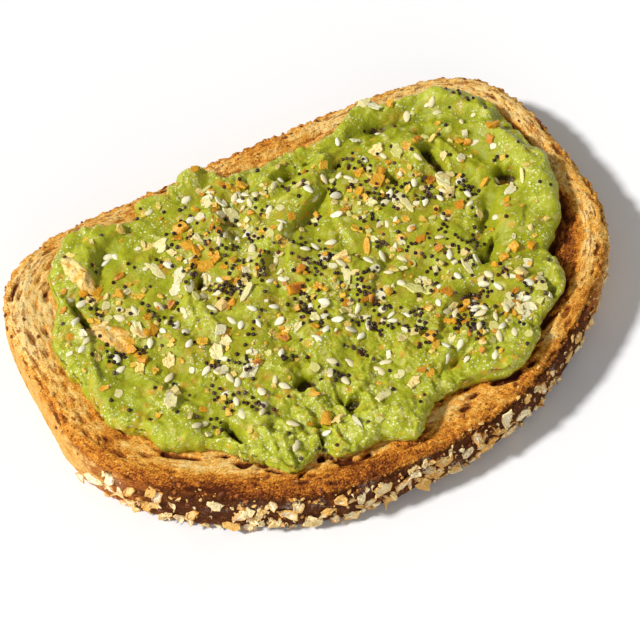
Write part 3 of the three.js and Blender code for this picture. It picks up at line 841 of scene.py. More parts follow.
class FinishTree:
    """The nodes of one material."""

    def __init__(self, name: str) -> None:
        """Starts a material with a Principled shader and the piece's own coordinates.

        Args:
            name: The material's name.
        """
        self.material = bpy.data.materials.new(name)
        self.material.use_nodes = True
        self.tree = self.material.node_tree
        self.tree.nodes.clear()
        self.shader = self.tree.nodes.new("ShaderNodeBsdfPrincipled")
        output = self.tree.nodes.new("ShaderNodeOutputMaterial")
        self.tree.links.new(self.shader.outputs[0], output.inputs["Surface"])
        self.place = self.node("ShaderNodeTexCoord").outputs["Object"]

    def node(self, kind: str, settings: dict | None = None, sockets: dict | None = None) -> bpy.types.Node:
        """Adds a node.

        Args:
            kind: The node's type.
            settings: Its own settings, which are set first.
            sockets: The values of its sockets, or what is linked to them, by name or number.

        Returns:
            The node.
        """
        node = self.tree.nodes.new(kind)
        for name, setting in (settings or {}).items():
            if name == "stops":
                self.set_stops(node.color_ramp, setting)
            else:
                setattr(node, name, setting)
        for name, value in (sockets or {}).items():
            self.connect(node.inputs[name], value)
        return node

    def connect(self, socket: Socket, value: Value | Socket | float | Sequence[float]) -> None:
        """Links a socket to another one or to a Value, or sets its number.

        Args:
            socket: An input of a node.
            value: What it gets.
        """
        if isinstance(value, Value):
            self.tree.links.new(value.socket, socket)
        elif isinstance(value, Socket):
            self.tree.links.new(value, socket)
        else:
            socket.default_value = value

    @staticmethod
    def set_stops(ramp: bpy.types.ColorRamp, stops: Sequence[tuple[float, Colour]]) -> None:
        """Sets a ramp's places and colours.

        Args:
            ramp: The ramp.
            stops: Its places from 0 to 1, each with its colour.
        """
        while len(ramp.elements) < len(stops):
            ramp.elements.new(1)
        for element, (place, colour) in zip(ramp.elements, stops):
            element.position = place
            element.color = (*colour, 1)

    def set(self, **sockets: Value | Socket | float | Sequence[float]) -> None:
        """Sets or links sockets of the shader, each named in small letters with underscores."""
        for name, value in sockets.items():
            wanted = name.replace("_", " ")
            socket = next(s for s in self.shader.inputs if s.name.lower() == wanted)
            self.connect(socket, value)

    def painted(self, name: str) -> Value:
        """Reads a value that was stored on the mesh."""
        return Value(self.tree, self.node("ShaderNodeAttribute", {"attribute_name": name}).outputs["Fac"])

    def painted_vector(self, name: str) -> Socket:
        """Reads a vector or colour that was stored on the mesh."""
        return self.node("ShaderNodeAttribute", {"attribute_name": name}).outputs["Vector"]

    def scaled(self, vector: Socket, scale: Size) -> Socket:
        """Scales a vector along its three axes."""
        sockets = {"Vector": vector, "Scale": scale}
        return self.node("ShaderNodeMapping", {}, sockets).outputs[0]

    def pattern(self, size: float, place: Socket | None = None) -> dict[str, object]:
        """Gives the sockets of a pattern.

        Args:
            size: The size of its cells in millimetres.
            place: The coordinates in millimetres, or None for the piece's own.

        Returns:
            The pattern's scale and vector, by name.
        """
        if place is None:
            return {"Vector": self.place, "Scale": 1 / (size * MM)}
        return {"Vector": place, "Scale": 1 / size}

    def grain(self, size: float, detail: float, place: Socket | None = None, rough: float = 0.5) -> Value:
        """Noise of a size in millimetres, from 0 to 1, over the piece's own coordinates or others."""
        sockets = self.pattern(size, place) | {"Detail": detail, "Roughness": rough}
        return Value(self.tree, self.node("ShaderNodeTexNoise", {}, sockets).outputs[0])

    def spots(self, size: float, place: Socket | None = None) -> Value:
        """Distance to the nearest of many scattered spots, one to each cell of a size in millimetres."""
        node = self.node("ShaderNodeTexVoronoi", {}, self.pattern(size, place))
        return Value(self.tree, node.outputs["Distance"])

    def cells(self, size: float) -> tuple[Value, Value]:
        """Scattered spots as above: the distance to the nearest, and a draw from 0 to 1 that is its own.

        Args:
            size: The size of a cell in millimetres.

        Returns:
            The distance and the draw.
        """
        node = self.node("ShaderNodeTexVoronoi", {}, self.pattern(size))
        draw = self.node("ShaderNodeSeparateColor", {}, {"Color": node.outputs["Color"]})
        return Value(self.tree, node.outputs["Distance"]), Value(self.tree, draw.outputs[0])

    def step(self, value: Value, low: float, high: float) -> Value:
        """Steps gently from 0 at low to 1 at high.

        Args:
            value: What is read.
            low: Where the step starts.
            high: Where it ends.

        Returns:
            The step.
        """
        sockets = {"Value": value, "From Min": low, "From Max": high}
        node = self.node("ShaderNodeMapRange", {"interpolation_type": "SMOOTHSTEP"}, sockets)
        return Value(self.tree, node.outputs[0])

    def ramp(self, value: Value, stops: Sequence[tuple[float, Colour]]) -> Socket:
        """Turns a value into a colour."""
        return self.node("ShaderNodeValToRGB", {"stops": stops}, {"Fac": value}).outputs[0]

    def mix(self, share: Value | float, base: Socket | Colour, over: Socket | Colour) -> Socket:
        """Mixes two colours, each a socket or plain numbers.

        Args:
            share: How much of the second colour there is.
            base: The first colour.
            over: The second colour.

        Returns:
            The mixed colour.
        """
        node = self.node("ShaderNodeMix", {"data_type": "RGBA", "blend_type": "MIX"})
        for name, value in (("Factor_Float", share), ("A_Color", base), ("B_Color", over)):
            socket = next(s for s in node.inputs if s.identifier == name)
            self.connect(socket, (*value, 1) if isinstance(value, tuple) else value)
        return next(s for s in node.outputs if s.identifier == "Result_Color")

    def bump(self, height: Value, depth: float) -> Socket:
        """Bumps as high as a depth in millimetres."""
        sockets = {"Height": height, "Strength": 1.0, "Distance": depth * MM}
        return self.node("ShaderNodeBump", {}, sockets).outputs[0]

    def dress(self, piece: Piece) -> None:
        """Gives the material to a piece."""
        piece.data.materials.clear()
        piece.data.materials.append(self.material)


def shade(red: int, green: int, blue: int) -> Colour:
    """Turns a colour as it is seen on a screen, from 0 to 255, into the amount of light it gives back."""
    seen = [c / 255 for c in (red, green, blue)]
    return tuple(c / 12.92 if c <= 0.04045 else ((c + 0.055) / 1.055) ** 2.4 for c in seen)


# ---- the bread


@dataclass(frozen=True)
class Station:
    """One ring of the slice's surface: its inset, height, distance from the crest and direction."""

    inset: float
    height: float
    along: float
    out: float
    up: float


@dataclass
class BreadSlice:
    """The toasted slice, with its open crumb, its crest and its crust."""

    form: SliceForm
    mash: MashForm
    sectors: int = 1000
    shrink: float = 0.97
    face_depth: float = 19.5
    face_step: float = 0.43
    shoulder_rings: int = 13
    shoulder_run: float = 5.3
    under_run: float = 24.0
    wall_step: float = 0.55
    under_insets: tuple[float, ...] = (4.0, 12.0, 30.0)
    # How dark the face and its edge are toasted, and how wide that edge is, at equal steps round from +X.
    toasting: tuple[float, ...] = (0.16, 0.14, 0.22, 0.38, 0.28, 0.07, 0.26, 0.62, 0.44, 0.3, 0.28, 0.24)
    edge_toasting: tuple[float, ...] = (0.24, 0.22, 0.28, 0.24, 0.24, 0.2, 0.24, 0.44, 0.44, 0.38, 0.32, 0.3)
    edge_widths: tuple[float, ...] = (2.4, 1.8, 1.8, 2.0, 2.4, 2.4, 2.6, 5.2, 6.4, 6.4, 5.8, 4.4)
    # How much darker the face is where it dips towards the mash: toasting, and on the right, where the mash's
    # shadow falls, painted shade as well.
    inner_toasting_and_shade: tuple[float, ...] = (0.7, 0.56, 0.12, 0.0, -0.04, 0.1, 0.12, -0.44, -0.44, -0.2, 0.0, 0.5)
    # How much darker the face is painted where the mash touches it: painted shade under the mash's edge,
    # strongest at the front and right.
    contact_shading: tuple[float, ...] = (0.5, 0.5, 0.15, 0.1, 0.1, 0.2, 0.2, 0.05, 0.1, 0.24, 0.4, 0.5)
    # How deep the hollows under the mash's edge are; the finish also paints them dark, as shade in them.
    nooks: tuple[float, ...] = (0.8, 0.7, 0.5, 0.7, 0.3, 0.1, 0.3, 1.0, 1.0, 1.0, 1.0, 0.9)
    stations: list[Station] = field(default_factory=list)

    def build(self) -> Piece:
        """Makes the slice as one closed mesh with its painted zones.

        Returns:
            The slice, in metres.
        """
        self.stations = self.lay_stations()
        piece = self.make_rings()
        points = Bench.points(piece)
        radius = np.hypot(points[:, 0], points[:, 1])
        middles = radius < self.shrink ** (len(self.stations) + 1)
        angle = np.arctan2(points[:, 1], points[:, 0])
        ring = np.rint(np.log(np.maximum(radius, 1e-9)) / math.log(self.shrink)).astype(int)
        ring = np.clip(ring, 0, len(self.stations) - 1)
        placed, paints = self.place(angle, ring)
        top_middle = middles & (points[:, 2] > -0.5)
        placed[top_middle] = (0, self.form.widest_at, self.form.thickness - self.form.dish)
        placed[middles & ~top_middle] = (0, self.form.widest_at, 0)
        Bench.move_points(piece, placed)
        Bench.finish(piece, "bread_slice")
        for name, values in paints.items():
            Bench.paint(piece, name, values)
        return piece

    def lay_stations(self) -> list[Station]:
        """Lists the rings from the underside, up the wall and over the crest to the middle of the face.

        Returns:
            The rings.
        """
        form = self.form
        top = form.thickness - form.shoulder_drop
        under = [Station(inset, 0, -self.under_run, 0, -1) for inset in reversed(self.under_insets)]
        wall = []
        count = round(top / self.wall_step)
        for k in range(count):
            z = top * k / count
            slope = (form.wall_inset(np.array(z + 0.1)) - form.wall_inset(np.array(z - 0.1))) / 0.2
            scale = math.hypot(1, float(slope))
            along = -self.shoulder_run - (top - z)
            inset = float(form.wall_inset(np.array(z)))
            wall.append(Station(inset, z, along, 1 / scale, float(slope) / scale))
        shoulder = []
        span = form.crest_inset - form.shoulder_inset
        for k in range(self.shoulder_rings):
            phi = (1 - k / self.shoulder_rings) * math.pi / 2
            inset = form.crest_inset - span * math.sin(phi)
            z = form.thickness - form.shoulder_drop * (1 - math.cos(phi))
            out, up = form.shoulder_drop * math.sin(phi), span * math.cos(phi)
            scale = math.hypot(out, up)
            along = -self.shoulder_run * phi * 2 / math.pi
            shoulder.append(Station(inset, z, along, out / scale, up / scale))
        face = []
        for k in range(int((self.face_depth - form.crest_inset) / self.face_step)):
            inset = form.crest_inset + self.face_step * k
            height = float(form.face_height(np.array(inset)))
            face.append(Station(inset, height, self.face_step * k, 0, 1))
        return under + wall + shoulder + face

    def make_rings(self) -> Piece:
        """Extrudes a circle inwards ring by ring, and closes it above and below.

        Returns:
            The closed mesh, with its rings in place of the slice's.
        """
        Bench.clear_selection()
        bpy.ops.mesh.primitive_circle_add(vertices=self.sectors, radius=1, fill_type="NOTHING")
        piece = Bench.named("bread_slice")
        Bench.edit()
        Bench.add_rings(len(self.stations) - 1, self.shrink)
        Bench.close_loop()
        Bench.select_border()
        Bench.close_below()
        return piece

    def place(self, angle: Array, ring: Array) -> tuple[Array, dict[str, Array]]:
        """Works out where each point lies and what is painted on it.

        Args:
            angle: Each point's angle.
            ring: The number of each point's station.

        Returns:
            The points in millimetres, and the painted values by name.
        """
        form = self.form
        table = np.array([(s.inset, s.height, s.along, s.out, s.up) for s in self.stations])
        inset, height, t, out, up = (column[ring] for column in table.T)
        heading = form.heading(angle)
        s, length = self.run_length(angle)
        relief, cavity, burn = self.relief(s / length, length, t, angle)
        radius = form.crust_reach(angle) - inset
        x = radius * np.cos(angle) + relief * out * np.sin(heading)
        y = form.widest_at + radius * np.sin(angle) - relief * out * np.cos(heading)
        z = np.maximum(height + relief * up, 0)
        placed = np.stack((x, y, z), axis=1)
        ring_radius = length / TURN
        turn = TURN * s / length
        grain = np.stack((ring_radius * np.cos(turn), ring_radius * np.sin(turn), t), axis=1)
        degrees = np.degrees(angle) % 360
        strayed = degrees + 9 * (noise(t / 2.5, degrees / 5, 71) - 0.5)
        dome = smooth(175, 216, strayed) * (1 - smooth(322, 346, degrees))
        return placed, {"grain": grain, "cavity": cavity, "burn": burn, "dome": dome, "down": -t}

    def run_length(self, angle: Array) -> tuple[Array, float]:
        """Gives how far round the crust each angle lies, and the length all the way round.

        Args:
            angle: Angles in radians.

        Returns:
            The ways round to the angles, and the whole way round.
        """
        steps = np.linspace(0, TURN, 2001)
        reach = self.form.crust_reach(steps)
        points = np.stack((reach * np.cos(steps), reach * np.sin(steps)), axis=1)
        lengths = np.concatenate(([0], np.cumsum(np.hypot(*np.diff(points, axis=0).T))))
        return np.interp(angle % TURN, steps, lengths), float(lengths[-1])

    def relief(self, share: Array, length: float, t: Array, angle: Array) -> tuple[Array, Array, Array]:
        """Works out pores, grain and crags.

        Args:
            share: How far round the crust, from 0 to 1.
            length: The way round the crust, in millimetres.
            t: Distance from the crest over the surface, less than 0 down the wall.
            angle: Each point's angle.

        Returns:
            Height off the even surface in millimetres, how deep in a pore or a nook under the mash, which the
            finish paints as shade, and how dark from toasting and from painted shade near the mash.
        """

        def across(cell: float) -> tuple[Array, int]:
            """Measures the way round in whole cells."""
            count = round(length / cell)
            return share * count, count

        def field(make: Callable, cell: float, height: float, seed: int, *settings: float) -> Array:
            """Fills the surface with one kind of noise or pit."""
            u, count = across(cell)
            return make(u, t / height, seed, *settings, wrap=count)

        crumb = smooth(-6.2, -4.2, t)
        under = 1 - smooth(-20, -18.5, t)
        degrees = np.degrees(angle) % 360
        dome_side = smooth(190, 205, degrees) * (1 - smooth(345, 356, degrees))
        small = field(pits, 2.3, 1.0, 3, 0.5)
        middle = field(pits, 5.6, 1.8, 5, 0.34)
        large = field(pits, 6.6, 2.2, 9, 0.16)
        swell = field(layered_noise, 11.0, 5.0, 11)
        fine = field(layered_noise, 1.7, 0.9, 15)
        crest = np.exp(-(((t + 3.6) / 1.7) ** 2))
        crags = field(pits, 2.6, 1.9, 21, 0.6)
        ragged = field(layered_noise, 2.1, 3.0, 23)
        gritty = field(layered_noise, 0.95, 0.9, 19)
        face = 0.3 * swell + 0.3 * fine + 0.3 * gritty - 0.3 * small - 0.6 * middle - 0.6 * large
        face += crest * (0.8 * ragged + 1.4 * gritty - 0.6 * crags)
        lumps = field(layered_noise, 5.2, 4.6, 25)
        wrinkles = field(layered_noise, 1.7, 1.3, 29)
        flecks = field(pits, 3.4, 2.2, 33, 0.3)
        skin = 0.5 * lumps + 0.25 * wrinkles - 0.4 * flecks
        blisters = 0.8 * field(layered_noise, 2.6, 2.2, 37) - 0.4 * field(pits, 4.4, 2.9, 41, 0.45)
        baked = skin + 0.3 * gritty + dome_side * blisters
        from_mash = self.form.crust_reach(angle) - self.mash.reach(angle) - t - self.form.crest_inset
        gaps = smooth(0.62, 0.72, field(noise, 3.8, 2.6, 49))
        nook = (1 - smooth(0.4, 2.2, np.abs(from_mash - 0.3))) * gaps * crumb
        nook = nook * read_ring(self.nooks, angle)
        relief = (crumb * face + (1 - crumb) * baked) * (1 - under) - 1.8 * nook
        # The pores, the nooks and the crust's flecks make up a value that the finish paints darker, as shade
        # in them.
        pores = np.clip(0.5 * small + 0.85 * middle + 1.2 * large + crest * 0.5 * crags, 0, 1.4)
        cavity = 1.5 * nook + crumb * pores
        cavity = cavity + (1 - crumb) * np.clip(0.8 * flecks, 0, 1)
        broad = field(layered_noise, 13.0, 4.2, 45)
        edge = np.exp(-(((t + 3.4) / read_ring(self.edge_widths, angle)) ** 2))
        toasted = read_ring(self.toasting, angle) + read_ring(self.edge_toasting, angle) * edge + 0.55 * broad
        # On the right this dip's darkening is painted shade where the mash's shadow falls, on top of
        # toasting.
        dip = smooth(2.2, 6.0, t + 3.4 * swell + 1.8 * fine)
        toasted = toasted + read_ring(self.inner_toasting_and_shade, angle) * dip
        # Painted shade on the face along the mash's edge.
        contact_shade = 1 - smooth(0.2, 1.8, from_mash + 1.2 * fine + 1.2 * swell)
        toasted = toasted + read_ring(self.contact_shading, angle) * contact_shade
        # The returned darkness holds toasting, and painted shade near the mash.
        return relief, cavity, np.clip(toasted, 0, 1.2)


@dataclass(frozen=True)
class BreadFinish:
    """Toasted crumb that darkens towards the crest, and the baked crust below it."""

    pale: Colour = shade(255, 222, 150)
    tan: Colour = shade(248, 192, 92)
    orange: Colour = shade(228, 148, 46)
    brown: Colour = shade(164, 88, 30)
    burnt: Colour = shade(84, 38, 14)
    # Darker brown painted in the pores, as shade in them.
    pore: Colour = shade(144, 70, 24)
    gold_crust: Colour = shade(236, 188, 104)
    russet_crust: Colour = shade(146, 76, 28)
    russet_speck: Colour = shade(204, 126, 50)
    dark_crust: Colour = shade(82, 40, 14)
    crust_speck: Colour = shade(150, 90, 36)
    flour: Colour = shade(236, 222, 200)

    def dress(self, piece: Piece) -> None:
        """Dresses the slice in its crumb and crust.

        Args:
            piece: The slice.
        """
        finish = FinishTree("toasted_bread")
        mix, step, grain = finish.mix, finish.step, finish.grain
        run = finish.painted_vector("grain")
        grit = grain(0.5, 3, run, 0.7)
        streaks = grain(0.6, 3, finish.scaled(run, (0.22, 0.22, 1)), 0.66)
        mottle = grain(2.3, 3, finish.scaled(run, (0.7, 0.7, 1)), 0.6)
        holes = finish.spots(1.35, finish.scaled(run, (0.36, 0.36, 1))) + (mottle - 0.5) * 0.9
        pore = 1 - step(holes + (grit - 0.5) * 0.4, 0.12, 0.2)
        cavity, burn = finish.painted("cavity"), finish.painted("burn")
        dome, down = finish.painted("dome"), finish.painted("down")
        # The cavity value adds painted shade in pores and nooks to the toasting.
        toasting = burn + (mottle - 0.5) * 0.8 + (streaks - 0.5) * 0.6 + (grit - 0.5) * 1.6 + cavity * 0.15
        tones = (self.pale, self.tan, self.orange, self.brown, self.burnt)
        stops = tuple(zip((0.0, 0.26, 0.52, 0.8, 1.0), tones))
        crumb = finish.ramp(toasting.clamped(), stops)
        slits = step(grain(0.95, 2, finish.scaled(run, (0.2, 0.2, 1))) + (grit - 0.5) * 0.3, 0.55, 0.62)
        slits = slits * (0.72 - step(burn, 0.26, 0.5) * 0.45)
        crumb = mix(slits, crumb, mix(step(down, -6, 0), self.orange, self.brown))
        gold = mix(step(mottle + (grit - 0.5) * 1.2, 0.44, 0.7), self.gold_crust, self.orange)
        # Painted shade: the crust goes browner in its flecks and pits.
        gold = mix(step(streaks + cavity * 0.3, 0.56, 0.72) * 0.5, gold, self.brown)
        dark = mix(step(grit + (mottle - 0.5) * 0.6, 0.54, 0.7), self.dark_crust, self.crust_speck)
        baking = dome + (mottle - 0.5) * 0.9 + (grit - 0.5) * 0.9
        russet = mix(step(grit, 0.4, 0.66), self.russet_crust, self.russet_speck)
        crust = mix(step(baking, 0.1, 0.36), gold, russet)
        crust = mix(step(baking, 0.56, 0.8), crust, dark)
        edge = down + (mottle - 0.5) * 3.2 + (grit - 0.5) * 3.0
        colour = mix(step(edge + dome * 0.9, 3.5, 4.5), crumb, crust)
        # Painted shade: pores and nooks darker, down to burnt brown in the deepest of them, and darker pore
        # spots.
        sunk = step(cavity + (grit - 0.5) * 1.3, 0.46, 0.9) * 0.62
        colour = mix(sunk, colour, mix(step(burn, 0.3, 0.8), self.pore, self.burnt))
        colour = mix(step(cavity, 1.0, 1.4), colour, self.burnt)
        colour = mix(pore * (1 - step(down, 4, 6) * 0.6) * 0.55, colour, self.pore)
        dust = step(grain(8, 2), 0.54, 0.68) * step(grit, 0.44, 0.6)
        colour = mix(dust * dome * step(down, 2, 6) * 0.4, colour, self.flour)
        height = streaks * 0.2 + grit * 0.9 + mottle * 0.3 - pore * 0.4
        finish.set(
            base_color=colour,
            roughness=0.75 + 0.15 * grit,
            specular_ior_level=0.12,
            normal=finish.bump(height, 0.5),
        )
        finish.dress(piece)


# ---- the mash


@dataclass
class AvocadoMash:
    """The spread avocado: a fine skin over the strokes, with a bulging edge."""

    form: MashForm
    cells: int = 276
    border_inset: float = 2.2
    growth: float = 1.02
    # The rings from the border out over the edge and down under it: how far in from the edge each one lies,
    # and, for those under it, at what share of the depth above the crumb.
    over: tuple[float, ...] = (1.9, 1.6, 1.3, 1.0, 0.75, 0.52, 0.32, 0.16)
    under: tuple[float, ...] = (0.05, 0.0, 0.02, 0.12, 0.3, 0.55, 0.95, 1.6)
    under_lifts: tuple[float, ...] = (0.53, 0.46, 0.38, 0.29, 0.2, 0.1, 0.0, -0.12)

    def build(self) -> Piece:
        """Makes the mash as one closed mesh with its painted hollows.

        Returns:
            The mash, in metres.
        """
        piece = self.make_grid()
        points = Bench.points(piece)
        share = np.maximum(np.abs(points[:, 0]), np.abs(points[:, 1]))
        middle = points[:, 2] < -0.5
        ring = np.rint(np.log(np.maximum(share, 1)) / math.log(self.growth)).astype(int)
        ring = np.clip(ring, 0, len(self.over + self.under))
        angle = self.grid_angle(points[:, 0], points[:, 1])
        placed, paints = self.place(angle, np.minimum(share, 1), ring)
        bread = self.form.bread
        placed[middle] = (0, bread.widest_at, bread.thickness - bread.dish - 0.4)
        Bench.move_points(piece, placed)
        Bench.finish(piece, "avocado_spread")
        for name, values in paints.items():
            Bench.paint(piece, name, values)
        return piece

    def make_grid(self) -> Piece:
        """Makes a square grid, extrudes its border outwards ring by ring, and closes it below.

        Returns:
            The closed mesh, still flat.
        """
        Bench.clear_selection()
        bpy.ops.mesh.primitive_grid_add(x_subdivisions=self.cells, y_subdivisions=self.cells, size=2)
        piece = Bench.named("avocado_spread")
        Bench.edit()
        Bench.select_border()
        Bench.add_rings(len(self.over + self.under), self.growth)
        Bench.close_below()
        return piece

    def grid_angle(self, u: Array, v: Array) -> Array:
        """Gives the angle at which a place of the square grid lies on the mash.

        Args:
            u: Places across the grid.
            v: Places up the grid.

        Returns:
            The angles in radians.
        """
        corner = math.radians(self.form.corner_angle)
        side = np.abs(u) >= np.abs(v)
        share = np.maximum(np.maximum(np.abs(u), np.abs(v)), 1e-9)
        beside = corner * v / share
        above = math.pi / 2 - (math.pi / 2 - corner) * u / share
        beside = np.where(u > 0, beside, math.pi - beside)
        above = np.where(v > 0, above, -above)
        return np.where(side, beside, above)

    def place(self, angle: Array, share: Array, ring: Array) -> tuple[Array, dict[str, Array]]:
        """Works out where each point lies and what is painted on it.

        Args:
            angle: Each point's angle.
            share: Its share of the way to the grid's border.
            ring: The number of its ring outside the border, or 0.

        Returns:
            The points in millimetres, and what is painted on them: how deep they lie below the mash round
            them, which the finish paints as shade, how rough it is there, where glints are painted and how
            much seasoning fell on it.
        """
        bread = self.form.bread
        insets = np.array((self.border_inset, *self.over, *self.under))
        lifts = np.array((0.0, *(0.0 for _ in self.over), *self.under_lifts))
        reach = self.edge_reach(angle)
        radius = np.where(ring > 0, reach - insets[ring], share * (reach - self.border_inset))
        x, y = radius * np.cos(angle), bread.widest_at + radius * np.sin(angle)
        rough = self.roughness(x, y, reach - radius)
        crags = clods(reach * angle / 2.3, ring / 4.5, 141)
        radius = radius + (0.5 + 1.7 * rough) * smooth(2, 7, ring) * crags
        x, y = radius * np.cos(angle), bread.widest_at + radius * np.sin(angle)
        depth = self.form.depth_at(x, y) + self.texture(x, y) + rough * self.crumble(x, y)
        depth = depth + sum(crease.lift(x, y) for crease in CREASES.values())
        depth = np.maximum(depth, self.form.least_depth)
        for pit in PITS.values():
            sunk = pit.share(x, y)
            depth = depth * (1 - sunk) + np.minimum(depth, pit.floor) * sunk
        floor = bread.crumb_height(x, y)
        top = floor + depth * self.form.edge_share(reach - radius)
        lift = lifts[ring]
        z = np.where(ring <= len(self.over), top, floor + depth * lift - 0.5 * (lift <= 0))
        smooth_depth = self.form.depth + self.form.crown * 0.5
        # How far below the mash round it a place lies: the finish paints this as shade in hollows, and as
        # painted light on ridges.
        hollow = np.clip((smooth_depth - depth) / 4, -0.4, 1.3)
        # Where glints are painted: in patches along the edge, and wherever the mash is rough.
        edge_glints = 0.8 * (1 - smooth(3.0, 11.0, reach - radius)) * smooth(0.42, 0.6, noise(x / 8, y / 8, 145))
        near = [np.exp(-((x - h.x) ** 2 + (y - h.y) ** 2) / (1.5 * h.spread) ** 2) for h in HANDFULS]
        paints = {"hollow": hollow, "rough": rough, "glinting": np.maximum(rough, edge_glints)}
        paints["seasoned"] = np.clip(sum(near), 0, 1)
        return np.stack((x, y, z), axis=1), paints

    def edge_reach(self, angle: Array) -> Array:
        """Gives the reach of the mash with the small scallops of its edge.

        Args:
            angle: Angles in radians.

        Returns:
            The distances in millimetres.
        """
        reach = self.form.reach(angle)
        x, y = reach * np.cos(angle), reach * np.sin(angle)
        return reach + 1.3 * layered_noise(x / 4.2, y / 4.2, 51) + 0.8 * layered_noise(x / 1.8, y / 1.8, 55)

    @staticmethod
    def roughness(x: Array, y: Array, inset: Array) -> Array:
        """Gives how rough places are, from 0 to 1: at the edge, at the front left and in patches.

        Args:
            x: Places across the slice.
            y: Places along it.
            inset: How far in from the edge they lie.

        Returns:
            The roughness.
        """
        edge = 0.6 * (1 - smooth(2.0, 7.0, inset)) * smooth(0.4, 0.62, noise(x / 11, y / 11, 121))
        front = 1.3 * np.exp(-(((x + 24) / 22) ** 2) - ((y + 36) / 11) ** 2)
        left = 0.35 * np.exp(-(((x + 55) / 9) ** 2) - ((y + 8) / 14) ** 2)
        patches = 0.5 * smooth(0.56, 0.78, noise(x / 9, y / 9, 137))
        calm = 1 - 0.7 * np.exp(-(((x - 62) / 14) ** 2) - ((y - 12) / 26) ** 2)
        return np.clip(np.maximum(np.maximum(edge, front), np.maximum(left, patches)) * calm, 0, 1)

    @staticmethod
    def crumble(x: Array, y: Array) -> Array:
        """Gives the loose clods of the rough places, at their full height."""
        wx, wy = x + 1.6 * layered_noise(x / 3, y / 3, 123), y + 1.6 * layered_noise(x / 3, y / 3, 125)
        return 2.3 * clods(wx / 3.0, wy / 2.8, 127) + 1.3 * clods(wx / 1.5, wy / 1.4, 129)

    @staticmethod
    def smear_edges(x: Array, y: Array) -> Array:
        """Gives the low cliffs at the ends of the knife's smears, where they stand out and fade again.

        Args:
            x: Places across the slice.
            y: Places along it.

        Returns:
            The heights in millimetres.
        """
        total = np.zeros_like(x)
        for cell, height, seed in ((15, 1.3, 81), (10, 0.9, 84), (7, 0.6, 87)):
            u, v = x / cell, y / cell
            bend_u, bend_v = noise(u * 1.7, v * 1.7, seed + 1) - 0.5, noise(u * 1.7, v * 1.7, seed + 2) - 0.5
            level = noise(u + 0.9 * bend_u + 0.4 * v, v * 1.25 + 0.9 * bend_v, seed)
            strength = smooth(0.3, 0.65, noise(u * 0.9 + 7, v * 0.9, seed + 5))
            total += height * strength * (smooth(0.46, 0.54, level) - 0.5 - 0.55 * (level - 0.5))
        return total

    @staticmethod
    def pillow(level: Array) -> Array:
        """Turns noise into rounded lumps with soft valleys between them."""
        return np.sqrt(level * level + 0.05**2) - 0.13

    @staticmethod
    def texture(x: Array, y: Array) -> Array:
        """Gives the fine lumps and drag marks of the mash.

        Args:
            x: Places across the slice.
            y: Places along it.

        Returns:
            The heights in millimetres.
        """
        wet = smooth(0.35, 0.7, noise(x / 13, y / 13, 61))
        stray_x, stray_y = layered_noise(x / 5, y / 5, 91), layered_noise(x / 5, y / 5, 93)
        wx, wy = x + 4.5 * stray_x, y + 4.5 * stray_y
        drag = AvocadoMash.pillow(layered_noise((wx + 0.7 * wy) / 9.5, (wy - 0.7 * wx) / 2.6, 63, 2))
        lumps = AvocadoMash.pillow(layered_noise(wx / 3.3, wy / 3.3, 65))
        beads = layered_noise(x / 1.9, y / 1.9, 69, 2)
        grains = layered_noise(x / 0.95, y / 0.95, 67, 2)
        fine = 1.0 * drag + (0.55 + 0.65 * wet) * lumps + (0.3 + 0.42 * wet) * beads
        fine = fine + (0.12 + 0.24 * wet) * grains
        return AvocadoMash.smear_edges(x, y) + fine


